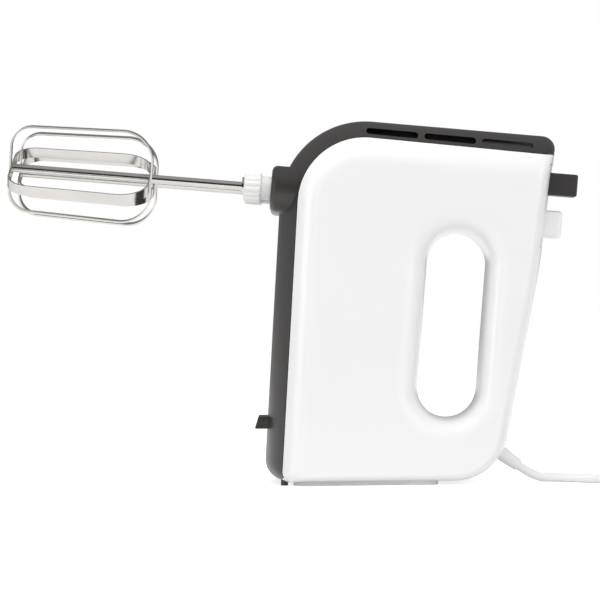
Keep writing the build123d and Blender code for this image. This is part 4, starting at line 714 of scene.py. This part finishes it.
# The beaters' steel: rods with two crossed strip loops welded to each and a small flange, polished.
# Slow changes of shade and sheen keep the polish from looking even.
STEEL = (0.50, 0.487, 0.468)
beater_steel = finish_of(
    "beater steel", STEEL, roughness=0.15, grain=500.0, bump=0.000004,
    patch=60.0, shade=0.05, spread=0.05, metallic=1.0,
)
for name in ("front", "rear"):
    repaint(beater_steel, f"beater_rod_{name}", f"beater_strips_{name}", f"beater_flange_{name}")

# The beaters' collars: white nylon pushed onto each rod. The front one has a ring of rounded ribs, which
# fits its own socket only, and the rear one is plain.
HEAD_CENTRE = np.array([-6.0, 0.0, 159.5])
HEAD_LEAN = np.radians(4.6)
COLLAR_RINGS = np.array([
    (2.42, -61.4), (7.4, -61.4), (8.0, -61.2), (8.35, -60.8), (8.45, -60.2), (8.7, -53.2), (8.6, -52.6),
    (8.2, -52.2), (7.6, -52.1), (6.75, -52.1), (6.55, -51.9), (6.5, -51.5), (6.5, -42.6), (6.2, -42.1),
    (2.42, -42.0),
])
COLLAR_RIBS = np.array([0, 0, 0.3, 0.7, 1, 1, 0.7, 0.3, 0, 0, 0, 0, 0, 0, 0])
RIB_COUNT = 16
RIB_DEPTH = 1.0
PLAIN_RADIUS = 7.5
COLLAR_CORNERS = 256
TURNED_SHARP = 40.0
MERGE_GAP = 0.000001
NYLON_WHITE = (0.82, 0.82, 0.81)
BEATER_SIDES = {"front": -22.0, "rear": 22.0}


def head_points(rear, side, up):
    """Points on the beater axes: rear along the leaning axis, side along y, and up square to both."""
    ahead = np.array([np.cos(HEAD_LEAN), 0, -np.sin(HEAD_LEAN)])
    above = np.array([np.sin(HEAD_LEAN), 0, np.cos(HEAD_LEAN)])
    across = np.array([0, 1, 0])
    return HEAD_CENTRE + rear[..., None] * ahead + side[..., None] * across + up[..., None] * above


def turned(profile, ribs, count, depth, side):
    """Surface turned round a beater axis: radius by profile, less depth in grooves between the ribs.

    A groove's share is the square of a raised cosine with one period for each rib."""
    turn = np.linspace(0, 2 * np.pi, COLLAR_CORNERS, endpoint=False)
    groove = (0.5 + 0.5 * np.cos(count * turn)) ** 2
    radius = profile[:, :1] - depth * ribs[:, None] * groove
    rear = np.broadcast_to(profile[:, 1:], radius.shape)
    return head_points(rear, side + radius * np.cos(turn), radius * np.sin(turn))


def turned_piece(name, points, flipped, paint):
    """Closed piece from rings of points, the last ring joined to the first, with doubles merged."""
    faces = grid_faces(len(points) + 1, points.shape[1], True).reshape(-1, 4)
    faces = faces[:, ::-1] if flipped else faces
    piece = new_piece(name, np.concatenate([points, points[:1]]), faces, paint)
    merge = piece.modifiers.new("merge", "WELD")
    merge.merge_threshold = MERGE_GAP
    settle(piece, TURNED_SHARP)
    return piece


collar_nylon = finish_of("collar nylon", NYLON_WHITE, roughness=0.36, grain=900.0, bump=0.00003, shade=0.015)
for name, side in BEATER_SIDES.items():
    ribbed = name == "front"
    rings = COLLAR_RINGS if ribbed else np.minimum(COLLAR_RINGS, (PLAIN_RADIUS, 0.0))
    collar_points = turned(rings, COLLAR_RIBS, RIB_COUNT, RIB_DEPTH if ribbed else 0.0, side)
    collar = turned_piece(f"collar_{name}", collar_points, True, collar_nylon)
    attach(collar, f"beater_{name}")
    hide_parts(f"beater_collar_{name}")

# The strain relief: a soft white sleeve moulded on the cord, tapered, with a rounded end, held in the
# heel by an anchor inside the shells.
GUARD_TILT = np.radians(35.8)
GUARD_CORNERS = 48
GUARD_RINGS = np.array([
    (2.52, 0.1), (2.75, 0.02), (3.0, 0.12), (3.2, 0.4), (3.33, 0.9), (3.42, 1.8), (3.75, 6.5), (4.1, 11.5),
    (4.38, 15.8), (4.4, 16.0), (6.3, 16.2), (6.5, 16.4), (6.5, 20.8), (6.3, 21.0), (2.52, 21.0),
])
GUARD_WHITE = (0.86, 0.86, 0.85)
guard_turn = np.linspace(0, 2 * np.pi, GUARD_CORNERS, endpoint=False)
guard_back = np.array([-np.cos(GUARD_TILT), 0, np.sin(GUARD_TILT)])
guard_up = np.array([np.sin(GUARD_TILT), 0, np.cos(GUARD_TILT)])
guard_round = np.cos(guard_turn)[:, None] * guard_up + np.sin(guard_turn)[:, None] * np.array([0, 1, 0])
guard_points = GUARD_RINGS[:, None, 1:] * guard_back + GUARD_RINGS[:, None, :1] * guard_round
guard_points = np.array(CORD_EXIT) + guard_points
guard_rubber = finish_of("guard rubber", GUARD_WHITE, roughness=0.45, grain=1000.0, bump=0.00004, shade=0.015)
sleeve = turned_piece("cord_sleeve", guard_points, False, guard_rubber)
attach(sleeve, "housing")
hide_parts("cord_guard")

# The plug and the tie: a flat white two-pin plug in soft plastic with brass pins, and a strap of white
# nylon round the coil.
BRASS = (0.78, 0.60, 0.30)
TIE_WHITE = (0.72, 0.72, 0.71)
pin_brass = finish_of(
    "pin brass", BRASS, roughness=0.22, grain=700.0, bump=0.00001, patch=80.0, shade=0.06, metallic=1.0
)
tie_nylon = finish_of("tie nylon", TIE_WHITE, roughness=0.5, grain=1200.0, bump=0.00005)
repaint(guard_rubber, "plug_body")
repaint(pin_brass, "plug_pins")
repaint(tie_nylon, "cord_tie")

# The works: the motor, the gears, the ejector and the switches inside the shells, carried by the
# gear frame and by posts, each in its own metal, copper, carbon, nylon or moulded plastic. A row is
# the slot's colour, roughness, grain, bump and share of metal.
WORKS_SHADE = 0.06
WORKS = {
    "frame_metal": ((0.50, 0.50, 0.51), 0.42, 400.0, 0.00005, 1.0),
    "bush_bronze": ((0.55, 0.36, 0.17), 0.38, 800.0, 0.00002, 1.0),
    "dark_steel": ((0.33, 0.33, 0.34), 0.30, 900.0, 0.00001, 1.0),
    "lamination": ((0.30, 0.30, 0.31), 0.45, 1400.0, 0.00006, 1.0),
    "copper": ((0.62, 0.25, 0.10), 0.34, 2200.0, 0.00012, 1.0),
    "carbon": ((0.02, 0.02, 0.021), 0.70, 1500.0, 0.00004, 0.0),
    "gear_nylon": ((0.75, 0.72, 0.62), 0.42, 800.0, 0.00002, 0.0),
    "inner_plastic": ((0.05, 0.05, 0.052), 0.50, 900.0, 0.00004, 0.0),
    "board": ((0.02, 0.13, 0.05), 0.36, 1100.0, 0.00003, 0.0),
    "white_cord": ((0.80, 0.80, 0.79), 0.42, 900.0, 0.00003, 0.0),
}
work_paints = {
    slot: finish_of(slot.replace("_", " "), colour, rough, grain, bump, shade=WORKS_SHADE, metallic=metal)
    for slot, (colour, rough, grain, bump, metal) in WORKS.items()
}
for part in frame["record"]["subparts"]:
    if part["material_slot"] in work_paints:
        repaint(work_paints[part["material_slot"]], part["node"])

bpy.context.view_layer.update()
